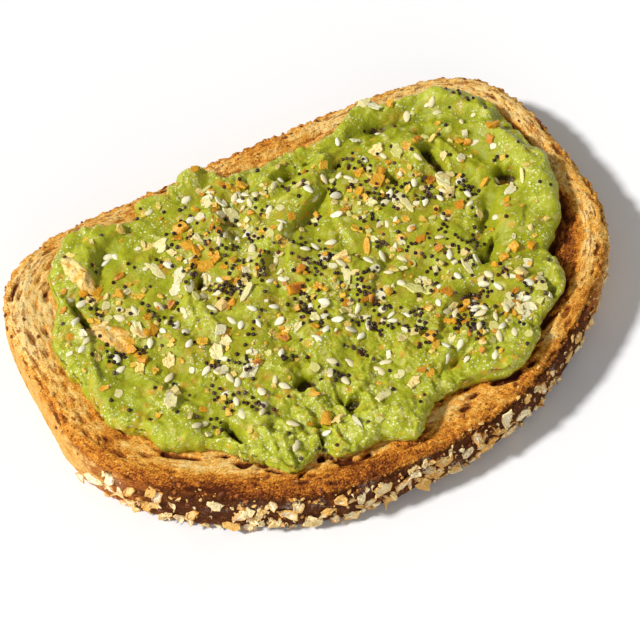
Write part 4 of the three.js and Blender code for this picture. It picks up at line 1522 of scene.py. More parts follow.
@dataclass(frozen=True)
class MashFinish:
    """Moist avocado: yellow-green, lighter on its ridges and deeper green in its hollows by painted light and
    shade, with painted glints.
    """

    # Light and deep green are reached partly through painted light on ridges and painted shade in hollows;
    # the dark green and the pit shadow are painted shade alone.
    light: Colour = shade(184, 187, 50)
    green: Colour = shade(166, 170, 22)
    deep: Colour = shade(140, 146, 12)
    dark: Colour = shade(118, 114, 14)
    pit_shadow: Colour = shade(66, 44, 14)
    yolk: Colour = shade(206, 166, 48)
    stain: Colour = shade(178, 138, 46)
    sunk_pale: Colour = shade(216, 208, 124)
    sunk_gold: Colour = shade(214, 158, 46)
    # Painted glints on the wet grain.
    grain: Colour = shade(240, 242, 184)

    def dress(self, piece: Piece) -> None:
        """Dresses the mash.

        Args:
            piece: The mash.
        """
        finish = FinishTree("avocado")
        mix, step, grain = finish.mix, finish.step, finish.grain
        hollow, rough = finish.painted("hollow"), finish.painted("rough")
        broad, middle, fine = grain(11, 3), grain(3.2, 3), grain(0.6, 3)
        tone = (broad - 0.5) * 0.8 + (middle - 0.5) * 0.6 + (fine - 0.5) * 0.5
        # Painted light and shade: lighter on ridges and deeper green where the mash lies below its
        # surroundings.
        tone = tone + hollow * 0.36 - rough * 0.2 + 0.48
        stops = ((0.12, self.light), (0.5, self.green), (0.95, self.deep))
        colour = finish.ramp(tone.clamped(), stops)
        # Painted shade: darker in deep hollows, near-black brown at the bottom of the pits.
        colour = mix(step(hollow, 0.6, 1.05) * 0.5, colour, self.dark)
        colour = mix(step(hollow, 0.92, 1.15) * 0.9, colour, self.pit_shadow)
        warm = step(grain(5.5, 3), 0.56, 0.74) * 0.45 + step(grain(2.3, 2), 0.6, 0.74) * 0.4
        colour = mix(warm.clamped(), colour, self.yolk)
        stained = step(grain(3.0, 3), 0.42, 0.64) * 0.4 * finish.painted("seasoned")
        colour = mix(stained, colour, self.stain)
        away, draw = finish.cells(2.8)
        sunk = 1 - step(away + (grain(1.1, 2) - 0.5) * 0.5, 0.3, 0.42)
        colour = mix(sunk * step(draw, 0.76, 0.8) * 0.5, colour, self.sunk_pale)
        colour = mix(sunk * (1 - step(draw, 0.13, 0.16)) * 0.6, colour, self.sunk_gold)
        # Painted glints: cream specks and dots in the wet patches stand for highlights on the wet grain; the
        # same patches are also less rough.
        wet = step(grain(5, 3) + finish.painted("glinting") * 0.2 - hollow * 0.12, 0.5, 0.6)
        crumbs = finish.spots(1.15) + (fine - 0.5) * 0.7
        beads = (1 - step(crumbs, 0.2, 0.32)) * (wet * 0.95 + 0.05)
        colour = mix(beads * 0.75, colour, self.grain)
        glint_dots = 1 - step(finish.spots(0.66) + (fine - 0.5) * 0.6, 0.12, 0.26)
        colour = mix(glint_dots * wet * 0.7, colour, self.grain)
        height = grain(0.9, 3) * 0.6 + grain(0.35, 2) * 0.25 + beads * 0.5
        finish.set(
            base_color=colour,
            roughness=0.5 - 0.18 * wet,
            specular_ior_level=0.34,
            subsurface_weight=0.75,
            subsurface_radius=(1.0, 0.95, 0.25),
            subsurface_scale=1.9 * MM,
            normal=finish.bump(height, 0.42),
        )
        finish.dress(piece)


# ---- small pieces


@dataclass
class Kind:
    """A few modelled shapes of one kind of small piece, as points and faces about the origin."""

    shapes: list[tuple[Array, list[tuple[int, ...]]]] = field(default_factory=list)

    def keep(self, piece: Piece) -> None:
        """Takes over the shape of a modelled piece, and removes the piece.

        Args:
            piece: The modelled piece.
        """
        points = Bench.points(piece)
        faces = [tuple(face.vertices) for face in piece.data.polygons]
        self.shapes.append((points, faces))
        mesh = piece.data
        bpy.data.objects.remove(piece)
        bpy.data.meshes.remove(mesh)


@dataclass
class Scattered:
    """Copies of small shapes, gathered into one mesh with a tint for each copy."""

    name: str
    points: list[Array] = field(default_factory=list)
    faces: list[tuple[int, ...]] = field(default_factory=list)
    tints: list[Array] = field(default_factory=list)
    count: int = 0

    def add(
        self, shape: tuple[Array, list], matrix: Matrix, tint: Colour, scale: Size, rim: Colour | None = None
    ) -> None:
        """Adds one copy.

        Args:
            shape: The shape's points and faces.
            matrix: Where the copy goes and how it is turned, in millimetres.
            tint: Its colour.
            scale: Its size along its own axes.
            rim: The colour towards its outline, where that differs.
        """
        points, faces = shape
        turned = (points * np.array(scale)) @ np.array(matrix.to_3x3()).T + np.array(matrix.translation)
        outer = np.clip(np.hypot(points[:, 0], points[:, 1]) / 0.45, 0, 1)[:, None] ** 3
        self.add_points(turned, faces, np.array(tint) * (1 - outer) + np.array(rim or tint) * outer)

    def add_points(self, points: Array, faces: list, tints: Array) -> None:
        """Adds a piece whose points are in place, in millimetres, with a colour for each of them.

        Args:
            points: The points, one to a row.
            faces: The faces, as numbers of points.
            tints: The points' colours.
        """
        self.points.append(points)
        self.faces.extend(tuple(v + self.count for v in face) for face in faces)
        self.tints.append(tints)
        self.count += len(points)

    def build(self, angle: float) -> Piece:
        """Makes the mesh, shaded smooth where faces meet at less than an angle in degrees.

        Args:
            angle: The widest smooth angle.

        Returns:
            The piece, in metres.
        """
        mesh = bpy.data.meshes.new(self.name)
        mesh.from_pydata(np.concatenate(self.points).tolist(), [], self.faces)
        piece = bpy.data.objects.new(self.name, mesh)
        bpy.context.scene.collection.objects.link(piece)
        Bench.finish(piece, self.name)
        bpy.ops.object.shade_smooth_by_angle(angle=math.radians(angle))
        Bench.paint(piece, "tint", np.concatenate(self.tints))
        return piece


@dataclass(frozen=True)
class Spot:
    """A place on the mash for one small piece."""

    x: float
    y: float
    size: float
    reach: float
    turn: float

    def away(self, other: "Spot") -> float:
        """Gives how far another spot is."""
        return math.hypot(self.x - other.x, self.y - other.y)


@dataclass(frozen=True)
class Handful:
    """Where seasoning fell thick."""

    x: float
    y: float
    spread: float


HANDFULS = tuple(
    Handful(*row)
    for row in (
        (28, -22, 7), (38, 15, 9), (24, 20, 8), (-24, 20, 8), (-6, 2, 10), (-32, -8, 10), (12, -8, 10),
        (44, -28, 6), (-12, 33, 9), (-56, 20, 8),
    )
)


@dataclass(frozen=True)
class Clump:
    """Poppy seeds that fell together."""

    x: float
    y: float
    count: int


CLUMPS = tuple(
    Clump(*row)
    for row in (
        (-26, 30, 4), (-29, 27, 4), (-21, 24, 5), (-25, 35, 3), (-5, 29, 4), (-11, 22, 6), (-18, 21, 5),
        (21, 12, 5), (27, 14, 10), (6, 19, 3), (-1, 14, 3), (-6, 15, 4), (1, 7, 10), (23, 32, 5),
        (31, 20, 6), (48, 14, 9), (37, 15, 12), (49, 10, 7), (61, 38, 4), (36, 1, 6), (26, -3, 6),
        (37, -5, 10), (41, -4, 4), (61, 15, 4), (-43, 11, 5), (-46, 13, 4), (-51, 5, 5), (-57, 5, 8),
        (-37, -9, 6), (-31, 19, 5), (-27, 13, 16), (-58, 24, 7), (-39, 14, 4), (-9, -3, 16), (-8, -8, 5),
        (-11, -25, 6), (-2, -21, 7), (4, -14, 8), (3, -17, 7), (-19, -15, 5), (-25, -5, 4), (-11, -6, 5),
        (-1, 3, 5), (8, -16, 8), (-18, 11, 6), (-33, -26, 8), (-30, -11, 8), (-38, -19, 7), (32, -20, 18),
        (36, -21, 8), (25, -25, 14), (30, -26, 6), (25, -29, 8), (27, -31, 8), (45, -25, 6), (49, -24, 4),
        (15, -19, 8), (11, -23, 8), (25, 1, 5), (28, -9, 6), (25, -13, 5), (33, -11, 4), (40, -19, 5),
        (13, -28, 6), (-24, -42, 3), (-22, 8, 9), (-14, 10, 6), (-20, 16, 8), (-4, 10, 6), (-12, 16, 6),
        (8, 28, 4), (4, 31, 4), (16, 29, 5), (20, 24, 6), (26, 22, 6), (28, 29, 5), (6, -4, 8), (11, -8, 8),
        (4, -9, 6), (13, -2, 5), (18, 5, 5), (-42, -16, 5), (-46, -22, 5),
    )
)


class Sort(Enum):
    """The sorts of dried flake."""

    GARLIC = "garlic"
    ONION = "onion"


class FlakeForm(Enum):
    """The forms that the dried flakes broke into."""

    NUGGET = "nugget"
    CHIP = "chip"
    STICK = "stick"
    BIT = "bit"
    SUNK = "sunk"
    CRUST = "crust"


CREAM = shade(236, 224, 164)
IVORY = shade(242, 234, 192)
CLEAR = shade(220, 216, 130)
PINKISH = shade(238, 206, 128)
STRAW = shade(252, 226, 148)
HONEY = shade(234, 178, 48)
AMBER = shade(226, 162, 28)
RUST = shade(160, 76, 18)


@dataclass(frozen=True)
class Flake:
    """One dried flake: its place and size in millimetres, turn in degrees, form, colour and sort."""

    x: float
    y: float
    length: float
    width: float
    turn: float
    form: FlakeForm
    tint: Colour
    sort: Sort


NUGGET, CHIP, STICK, BIT, SUNK, CRUST = FlakeForm

PALE = (CREAM, IVORY, CLEAR)

# The pale flakes are onion, and the yellow and brown ones garlic.
FLAKES = tuple(
    Flake(*row, Sort.ONION if row[-1] in PALE else Sort.GARLIC)
    for row in (
        (-57, 33.2, 14, 5.4, -78, CRUST, STRAW), (-55.2, 26.6, 4.6, 3.6, 40, NUGGET, AMBER),
        (-57.6, 24.6, 3.8, 2.8, 100, CHIP, STRAW), (-58.6, 27.6, 3.4, 2.4, 100, NUGGET, AMBER),
        (-58, 16.6, 4.6, 3.4, 20, NUGGET, STRAW), (-57, 12.2, 15, 6.2, -56, CRUST, PINKISH),
        (-50.4, 9.4, 4.2, 3.2, 80, CHIP, PINKISH), (-47.6, 8.6, 4, 3, 40, NUGGET, AMBER),
        (-54.6, 6.2, 3.6, 2.8, 10, NUGGET, AMBER), (-26.4, 19.8, 6.2, 3.6, -25, NUGGET, HONEY),
        (-23.6, 20.8, 4.6, 2.4, 10, CHIP, AMBER), (-28.4, 22.4, 4, 2.4, 60, CHIP, AMBER),
        (-26.6, 25.6, 5.2, 2.6, 100, NUGGET, HONEY), (-29, 31.6, 3.8, 2.6, 40, CHIP, AMBER),
        (-27, 34, 5.4, 3.8, 10, NUGGET, HONEY), (-28, 28, 4.8, 3.6, 70, NUGGET, HONEY),
        (-28, 16.5, 6.2, 1.6, 35, STICK, CREAM), (-6, 40, 4.8, 3, 120, NUGGET, HONEY),
        (-21, 7, 7.2, 1.9, 35, STICK, CREAM), (-28, 7, 4.4, 3.4, 20, NUGGET, PINKISH),
        (-25.4, 6.4, 2.6, 2.4, 60, NUGGET, AMBER), (-34, 32, 4.6, 3.6, 20, CHIP, CREAM),
        (-38.5, 25, 6.4, 2.2, 110, CHIP, CREAM), (-34, 20, 5.4, 3.8, 50, CHIP, IVORY),
        (-36.6, 17, 3.8, 3.2, 0, CHIP, IVORY), (-17, 38, 4.2, 3, 60, CHIP, CREAM),
        (-13.5, 37, 4, 2.6, 100, CHIP, IVORY), (-12.5, 33, 4.8, 3, 130, CHIP, CREAM),
        (-8.6, 2.2, 6.6, 3.6, -8, NUGGET, RUST), (-8.4, 2.6, 3.4, 2.8, -30, NUGGET, AMBER),
        (27, 23.5, 5.2, 4.2, 40, NUGGET, HONEY), (24.5, 28, 3.6, 3, 10, NUGGET, HONEY),
        (29.4, 25.6, 3.2, 2.4, 50, NUGGET, AMBER), (36.5, 29.5, 6.2, 3, 75, CHIP, CLEAR),
        (32, 33, 4.4, 3, 0, CHIP, STRAW), (30.5, 14, 8.4, 2.2, 95, STICK, CREAM),
        (43, 15.5, 6.6, 2.8, 100, CHIP, CREAM), (43, 11.5, 4.4, 3.2, 60, NUGGET, STRAW),
        (40, 17.5, 3.6, 2.8, 20, NUGGET, RUST), (63.5, 24, 4.4, 3.6, 10, NUGGET, AMBER),
        (54, 26, 3, 2.6, 0, NUGGET, HONEY), (56, 24.5, 2.8, 2.4, 40, NUGGET, AMBER),
        (62, 5.5, 5.6, 1.2, 60, STICK, STRAW), (57, 3.5, 5.4, 2.4, 40, CHIP, IVORY),
        (52.5, 9.5, 4.4, 1.8, 30, NUGGET, HONEY), (14.5, 6, 6.2, 1.8, 62, STICK, HONEY),
        (6, 5.5, 5.8, 3.2, -10, NUGGET, STRAW), (5, 0.4, 6, 2.6, 80, CHIP, CREAM),
        (36.5, 48, 3.8, 2.8, 0, CHIP, CREAM), (38.6, 46, 3.8, 2.8, 120, CHIP, IVORY),
        (43, 44.5, 3.2, 2.6, 60, NUGGET, HONEY), (40.4, -32.4, 4.8, 3.6, 20, CHIP, IVORY),
        (43, -30.2, 4.2, 3.2, 110, CHIP, IVORY), (40, -29.8, 3.8, 3, 70, CHIP, CREAM),
        (38.2, -27.4, 4.2, 3.2, 60, CHIP, CREAM), (42.4, -26.2, 4, 2.4, 20, CHIP, IVORY),
        (18.6, -11.4, 4.8, 3.8, -60, CHIP, CLEAR), (21.6, -13.4, 4.4, 3.6, 20, CHIP, CLEAR),
        (34, -13, 6.2, 1.6, 100, STICK, CREAM), (37.4, -12.2, 4.4, 1.6, 120, STICK, IVORY),
        (48.5, -13, 3.2, 3.2, 10, NUGGET, HONEY), (53, -14, 3.4, 2.6, 30, NUGGET, AMBER),
        (44.5, -14, 3.4, 2.8, 0, NUGGET, HONEY), (27, -23, 3.8, 3, 20, NUGGET, AMBER),
        (29.5, -21, 3.2, 2.6, 70, NUGGET, HONEY), (15, -27, 4.4, 3.8, 20, NUGGET, HONEY),
        (9.5, -36.5, 4.4, 3.2, 75, CHIP, HONEY), (4.5, -37, 3.8, 3, 20, CHIP, STRAW),
        (-20, -35.5, 4.8, 3.6, 55, NUGGET, HONEY), (-17.5, -37.5, 3.4, 3, 0, CHIP, STRAW),
        (-14, -41, 4.8, 1.6, 95, STICK, IVORY), (-13, -24.5, 4.8, 1.6, 60, STICK, IVORY),
        (-4, -36.5, 5.4, 3.2, 20, CHIP, CREAM), (-36, -5, 5.8, 3.6, 60, CHIP, CREAM),
        (-37, -10.5, 5, 4, 10, CHIP, IVORY), (-32, -3, 4.6, 3.2, 80, CHIP, CREAM),
        (-31, -14, 5.6, 3.4, 30, CHIP, IVORY), (-28, -13, 3.2, 2.4, 0, NUGGET, RUST),
        (-53, -14, 5, 3.2, 40, CHIP, CREAM), (-48, 27.5, 3.8, 2.8, 10, NUGGET, RUST),
        (-50, 22.6, 3.4, 2.8, 60, NUGGET, HONEY), (-39.5, 14, 3.4, 2.2, 20, NUGGET, RUST),
        (-18, -9, 3, 2.4, 0, NUGGET, RUST), (-49, 8.5, 3.4, 2.8, 40, NUGGET, AMBER),
        (-51, 11, 5.2, 3, 70, CHIP, CREAM), (-53.5, 1.5, 3.4, 2.6, 20, NUGGET, AMBER),
        (-47.5, -1.5, 5.4, 3, 50, CHIP, STRAW),
    )
)


@dataclass
class Sowing:
    """Finds free places for small pieces on the mash."""

    mash: MashForm
    farthest: float = 0.97
    from_edge: float = 1.2
    taken: list[Spot] = field(default_factory=list)

    def edge_distance(self, x: float, y: float) -> float:
        """Gives how far in from the mash's edge a place lies."""
        angle, radius = self.mash.bread.polar(np.array(x), np.array(y))
        return float(self.mash.reach(angle) - radius)

    def scatter(
        self,
        count: int,
        seed: int,
        length: float,
        gathered: float = 0.55,
        apart: float = 0.25,
        crowding: float = 1.0,
    ) -> list[Spot]:
        """Finds places near handfuls or anywhere, clear of the edge and of the places taken.

        Args:
            count: How many places.
            seed: Of their random numbers.
            length: The pieces' length in millimetres.
            gathered: The share of them that lie near a handful.
            apart: The least space between two pieces.
            crowding: The share of their reaches that two pieces keep between them.

        Returns:
            The places, which are taken from now on.
        """
        chance = Chance(seed)
        form = self.mash.bread
        spots = []
        while len(spots) < count:
            handful = chance.pick(HANDFULS)
            near = chance.draw() < gathered
            u, v = chance.draw(), chance.draw()
            far = handful.spread * math.sqrt(-2 * math.log(1 - self.farthest * u))
            x = handful.x + far * math.cos(TURN * v) if near else (2 * u - 1) * form.half_length
            y = handful.y + far * math.sin(TURN * v) if near else (2 * v - 1) * form.base_reach
            size = 0.85 + 0.3 * chance.draw()
            spot = Spot(x, y, size, length * size / 2, chance.draw() * TURN)
            if self.edge_distance(x, y) < spot.reach + self.from_edge:
                continue
            if any(float(pit.share(np.array(x), np.array(y))) > 0.2 for pit in PITS.values()):
                continue
            if any(p.away(spot) < (p.reach + spot.reach) * crowding + apart for p in self.taken):
                continue
            spots.append(spot)
            self.taken.append(spot)
        return spots


class Ground:
    """The finished surface of one or more pieces, on which small pieces are laid."""

    ABOVE = 60
    PROBES = 6
    PROBE_REACH = 0.8

    def __init__(self, *pieces: Piece) -> None:
        """Readies the faces of one or more pieces, in millimetres.

        Args:
            pieces: The pieces, in metres.
        """
        points, faces = [], []
        for piece in pieces:
            faces.extend(tuple(v + len(points) for v in f.vertices) for f in piece.data.polygons)
            points.extend(Vector(p) for p in Bench.points(piece) / MM)
        self.tree = BVHTree.FromPolygons(points, faces)

    def below(self, x: float, y: float) -> tuple[Vector, Vector]:
        """Gives the surface's highest point at a place, and its direction averaged over its surroundings.

        Args:
            x: The place across the slice.
            y: The place along it.

        Returns:
            The point and the direction.
        """
        point, normal = self.tree.ray_cast(Vector((x, y, self.ABOVE)), -UP)[:2]
        if point is None:
            return Vector((x, y, 0)), UP.copy()
        total = normal.copy()
        for k in range(self.PROBES):
            turn = k * TURN / self.PROBES
            dx, dy = self.PROBE_REACH * math.cos(turn), self.PROBE_REACH * math.sin(turn)
            around = self.tree.ray_cast(Vector((x + dx, y + dy, self.ABOVE)), -UP)[1]
            total += around if around else UP
        return point, total.normalized()

    def towards(self, start: Vector, way: Vector) -> tuple[Vector, Vector] | None:
        """Gives where a line meets the surface, and the surface's direction there."""
        point, normal = self.tree.ray_cast(start, way)[:2]
        return None if point is None else (point, normal)


def laid(point: Vector, normal: Vector, turn: float, lift: float) -> Matrix:
    """Places a piece on a point, its flat side along a normal, turned about it and lifted off it."""
    upright = UP.rotation_difference(normal) @ Quaternion(UP, turn)
    return Matrix.Translation(point + normal * lift) @ upright.to_matrix().to_4x4()


class Cutter:
    """Models the shapes of the small pieces."""

    @staticmethod
    def seed(length: float, width: float, height: float) -> Piece:
        """Models a teardrop seed: a ball drawn out to a point and flattened.

        Args:
            length: Its length in millimetres.
            width: Its width.
            height: Its height.

        Returns:
            The seed.
        """
        Bench.clear_selection()
        bpy.ops.mesh.primitive_uv_sphere_add(segments=8, ring_count=7, radius=0.5)
        piece = Bench.named("seed")
        points = Bench.points(piece)
        along = points[:, 2].copy()
        taper = 1 - 0.3 * smooth(-0.1, 0.5, along)
        across, up = points[:, 0] * taper, points[:, 1] * taper
        Bench.move_points(piece, np.stack((along * length, across * width, up * height), axis=1))
        return piece

    @staticmethod
    def ball(width: float, dent: float) -> Piece:
        """Models a poppy seed: a small ball with a dent on one side.

        Args:
            width: Its width in millimetres.
            dent: How deep its dent is.

        Returns:
            The seed.
        """
        Bench.clear_selection()
        bpy.ops.mesh.primitive_ico_sphere_add(subdivisions=2, radius=width / 2)
        piece = Bench.named("poppy")
        points = Bench.points(piece)
        near = np.exp(-((points[:, 0] - width / 2) ** 2 + points[:, 1] ** 2) / (0.3 * width) ** 2)
        points[:, 0] -= dent * near
        Bench.move_points(piece, points)
        return piece

    @staticmethod
    def cut(
        name: str, ways: Iterable[Vector], least: float, weld: float, rough: float, chance: Chance
    ) -> Piece:
        """Cuts flat faces off the new primitive, welds its short edges and moves its points a little.

        Args:
            name: What it is.
            ways: The directions of the cuts.
            least: How far from the middle the deepest cut may be.
            weld: The longest edge that is welded.
            rough: How far its points stray, as a share of its size.
            chance: Its random numbers.

        Returns:
            The shape, about one unit across.
        """
        piece = Bench.named(name)
        Bench.edit()
        for way in ways:
            bpy.ops.mesh.select_all(action="SELECT")
            depth = chance.within(least, 0.46)
            bpy.ops.mesh.bisect(plane_co=way * depth, plane_no=way, use_fill=True, clear_outer=True)
        bpy.ops.mesh.select_all(action="SELECT")
        bpy.ops.mesh.remove_doubles(threshold=weld)
        bpy.ops.mesh.quads_convert_to_tris()
        bpy.ops.object.mode_set(mode="OBJECT")
        points = Bench.points(piece)
        stray = [[chance.within(-rough, rough) for _ in range(3)] for _ in points]
        Bench.move_points(piece, points + np.array(stray))
        return piece

    @staticmethod
    def nugget(chance: Chance, cuts: int, rough: float) -> Piece:
        """Models an angular crumb: a ball with flat faces cut off all round.

        Args:
            chance: Its random numbers.
            cuts: How many faces are cut.
            rough: How far its points stray, as a share of its size.

        Returns:
            The crumb, about one unit across.
        """
        Bench.clear_selection()
        bpy.ops.mesh.primitive_ico_sphere_add(subdivisions=1, radius=0.58)
        spans = ((-1, 1), (-1, 1), (-0.8, 0.8))
        ways = (Vector([chance.within(*span) for span in spans]).normalized() for _ in range(cuts))
        return Cutter.cut("nugget", ways, 0.22, 0.07, rough, chance)

    @staticmethod
    def chunk(chance: Chance, cuts: int, rough: float) -> Piece:
        """Models a broken chunk: a block with its corners cut off.

        Args:
            chance: Its random numbers.
            cuts: How many corners are cut off.
            rough: How far its points stray, as a share of its size.

        Returns:
            The chunk, about one unit across.
        """
        Bench.clear_selection()
        bpy.ops.mesh.primitive_cube_add(size=0.82)
        Bench.edit()
        bpy.ops.mesh.subdivide(number_cuts=2)
        ways = (
            Vector([chance.pick((-1, 1)) * chance.within(0.35, 1) for _ in range(3)]).normalized()
            for _ in range(cuts)
        )
        return Cutter.cut("chunk", ways, 0.3, 0.08, rough, chance)

    @staticmethod
    def crust(chance: Chance, sides: int, rings: int) -> Piece:
        """Models a baked crust of many grains: a thin sheet with a ragged outline and a cobbled face.

        Args:
            chance: Its random numbers.
            sides: How many points its outline has.
            rings: How many rings of faces there are inside it.

        Returns:
            The crust, about one unit across, with its heights in millimetres.
        """
        Bench.clear_selection()
        bpy.ops.mesh.primitive_circle_add(vertices=sides, radius=0.5, fill_type="NOTHING")
        piece = Bench.named("crust")
        Bench.edit()
        bpy.ops.mesh.extrude_region_move(TRANSFORM_OT_translate={"value": (0, 0, 1)})
        Bench.add_rings(rings, 0.84)
        Bench.close_loop()
        Bench.select_border()
        bpy.ops.mesh.edge_face_add()
        bpy.ops.mesh.select_mode(type="VERT")
        bpy.ops.object.mode_set(mode="OBJECT")
        points = Bench.points(piece)
        x, y, top = points[:, 0].copy(), points[:, 1].copy(), points[:, 2] > 0.5
        seed = int(chance.within(200, 900))
        angle = np.arctan2(y, x)
        share = np.hypot(x, y) / 0.5
        ragged = layered_noise(4 + 2.2 * np.cos(angle), 4 + 2.2 * np.sin(angle), seed, 4)
        nicked = noise(9 + 7 * np.cos(angle), 9 + 7 * np.sin(angle), seed + 7) - 0.5
        reach = 1 + 0.6 * ragged + 0.14 * nicked
        u, v = x * reach * 10 + 20, y * reach * 4.4 + 20
        cobbled = 0.7 * clods(u, v, seed + 3) + 0.3 * layered_noise(u, v, seed + 5)
        height = 0.7 * np.sqrt(np.clip(1 - share**4, 0, 1)) + 0.9 * cobbled * (1 - share**4)
        Bench.move_points(piece, np.stack((x * reach, y * reach, np.where(top, height, -0.5)), axis=1))
        return piece

    @staticmethod
    def chip(chance: Chance, sides: int, thick: float, curl: float, ragged: float, crumple: float) -> Piece:
        """Models a thin flake with a ragged outline that curls along its length.

        Args:
            chance: Its random numbers.
            sides: How many points its outline has.
            thick: Its thickness as a share of its size.
            curl: How far its ends rise.
            ragged: How uneven its outline is.
            crumple: How far its face is dented in and out.

        Returns:
            The flake, about one unit across.
        """
        Bench.clear_selection()
        bpy.ops.mesh.primitive_circle_add(vertices=sides, radius=0.5, fill_type="NOTHING")
        piece = Bench.named("chip")
        Bench.edit()
        Bench.add_rings(1, 0.56)
        Bench.close_loop()
        bpy.ops.object.mode_set(mode="OBJECT")
        points = Bench.points(piece)
        lean = chance.draw() * TURN
        for k, point in enumerate(points):
            angle = math.atan2(point[1], point[0]) + lean
            square = (math.cos(angle) ** 4 + math.sin(angle) ** 4) ** -0.25
            reach = (0.94 * square) * (1 + ragged * chance.within(-1, 1))
            points[k] = (point[0] * reach, point[1] * reach, crumple * chance.within(-1, 1))
        Bench.move_points(piece, points)
        Bench.edit()
        bpy.ops.mesh.extrude_region_move(TRANSFORM_OT_translate={"value": (0, 0, thick)})
        bpy.ops.transform.resize(value=(0.9, 0.9, 1))
        bpy.ops.mesh.select_all(action="SELECT")
        bpy.ops.mesh.normals_make_consistent(inside=False)
        bpy.ops.object.mode_set(mode="OBJECT")
        points = Bench.points(piece)
        lean = chance.within(-0.35, 0.35)
        points[:, 2] += curl * 4 * (points[:, 0] + lean * points[:, 1]) ** 2 - thick / 2
        Bench.move_points(piece, points)
        return piece


@dataclass(frozen=True)
class Palette:
    """The tints of a kind of small piece, and how far one copy strays from its tint."""

    tints: tuple[Colour, ...]
    stray: float

    def pick(self, chance: Chance) -> Colour:
        """Picks a tint, a little lighter or darker.

        Args:
            chance: Random numbers for the choice.

        Returns:
            The tint.
        """
        tint = chance.pick(self.tints)
        light = 1 + self.stray * chance.within(-1, 1)
        return tuple(min(1.0, c * light) for c in tint)


@dataclass(frozen=True)
class SmallFinish:
    """The finish of scattered pieces: each copy's own tint, with browned blotches and fine grain."""

    name: str
    browned: Colour
    browning: float
    blotch: float
    roughness: float
    translucence: float
    bump: float
    grain: float = 0.5
    speckle: float = 0.18
    gloss: float = 0.4

    def dress(self, piece: Piece) -> None:
        """Dresses one kind of scattered piece.

        Args:
            piece: The scattered pieces, as one.
        """
        finish = FinishTree(self.name)
        tint = finish.painted_vector("tint")
        blotches = finish.grain(self.blotch, 3)
        fine = finish.grain(self.grain, 2)
        patches = finish.step(blotches + (fine - 0.5) * 0.4, 0.52, 0.7)
        browned = finish.mix(patches * self.browning, tint, self.browned)
        colour = finish.mix(finish.step(fine, 0.4, 0.7) * self.speckle, browned, self.browned)
        finish.set(
            base_color=colour,
            roughness=self.roughness + 0.12 * fine,
            specular_ior_level=self.gloss,
            subsurface_weight=self.translucence,
            subsurface_radius=(1.0, 0.8, 0.5),
            subsurface_scale=0.6 * MM,
            normal=finish.bump(fine + blotches * 0.5, self.bump),
        )
        finish.dress(piece)


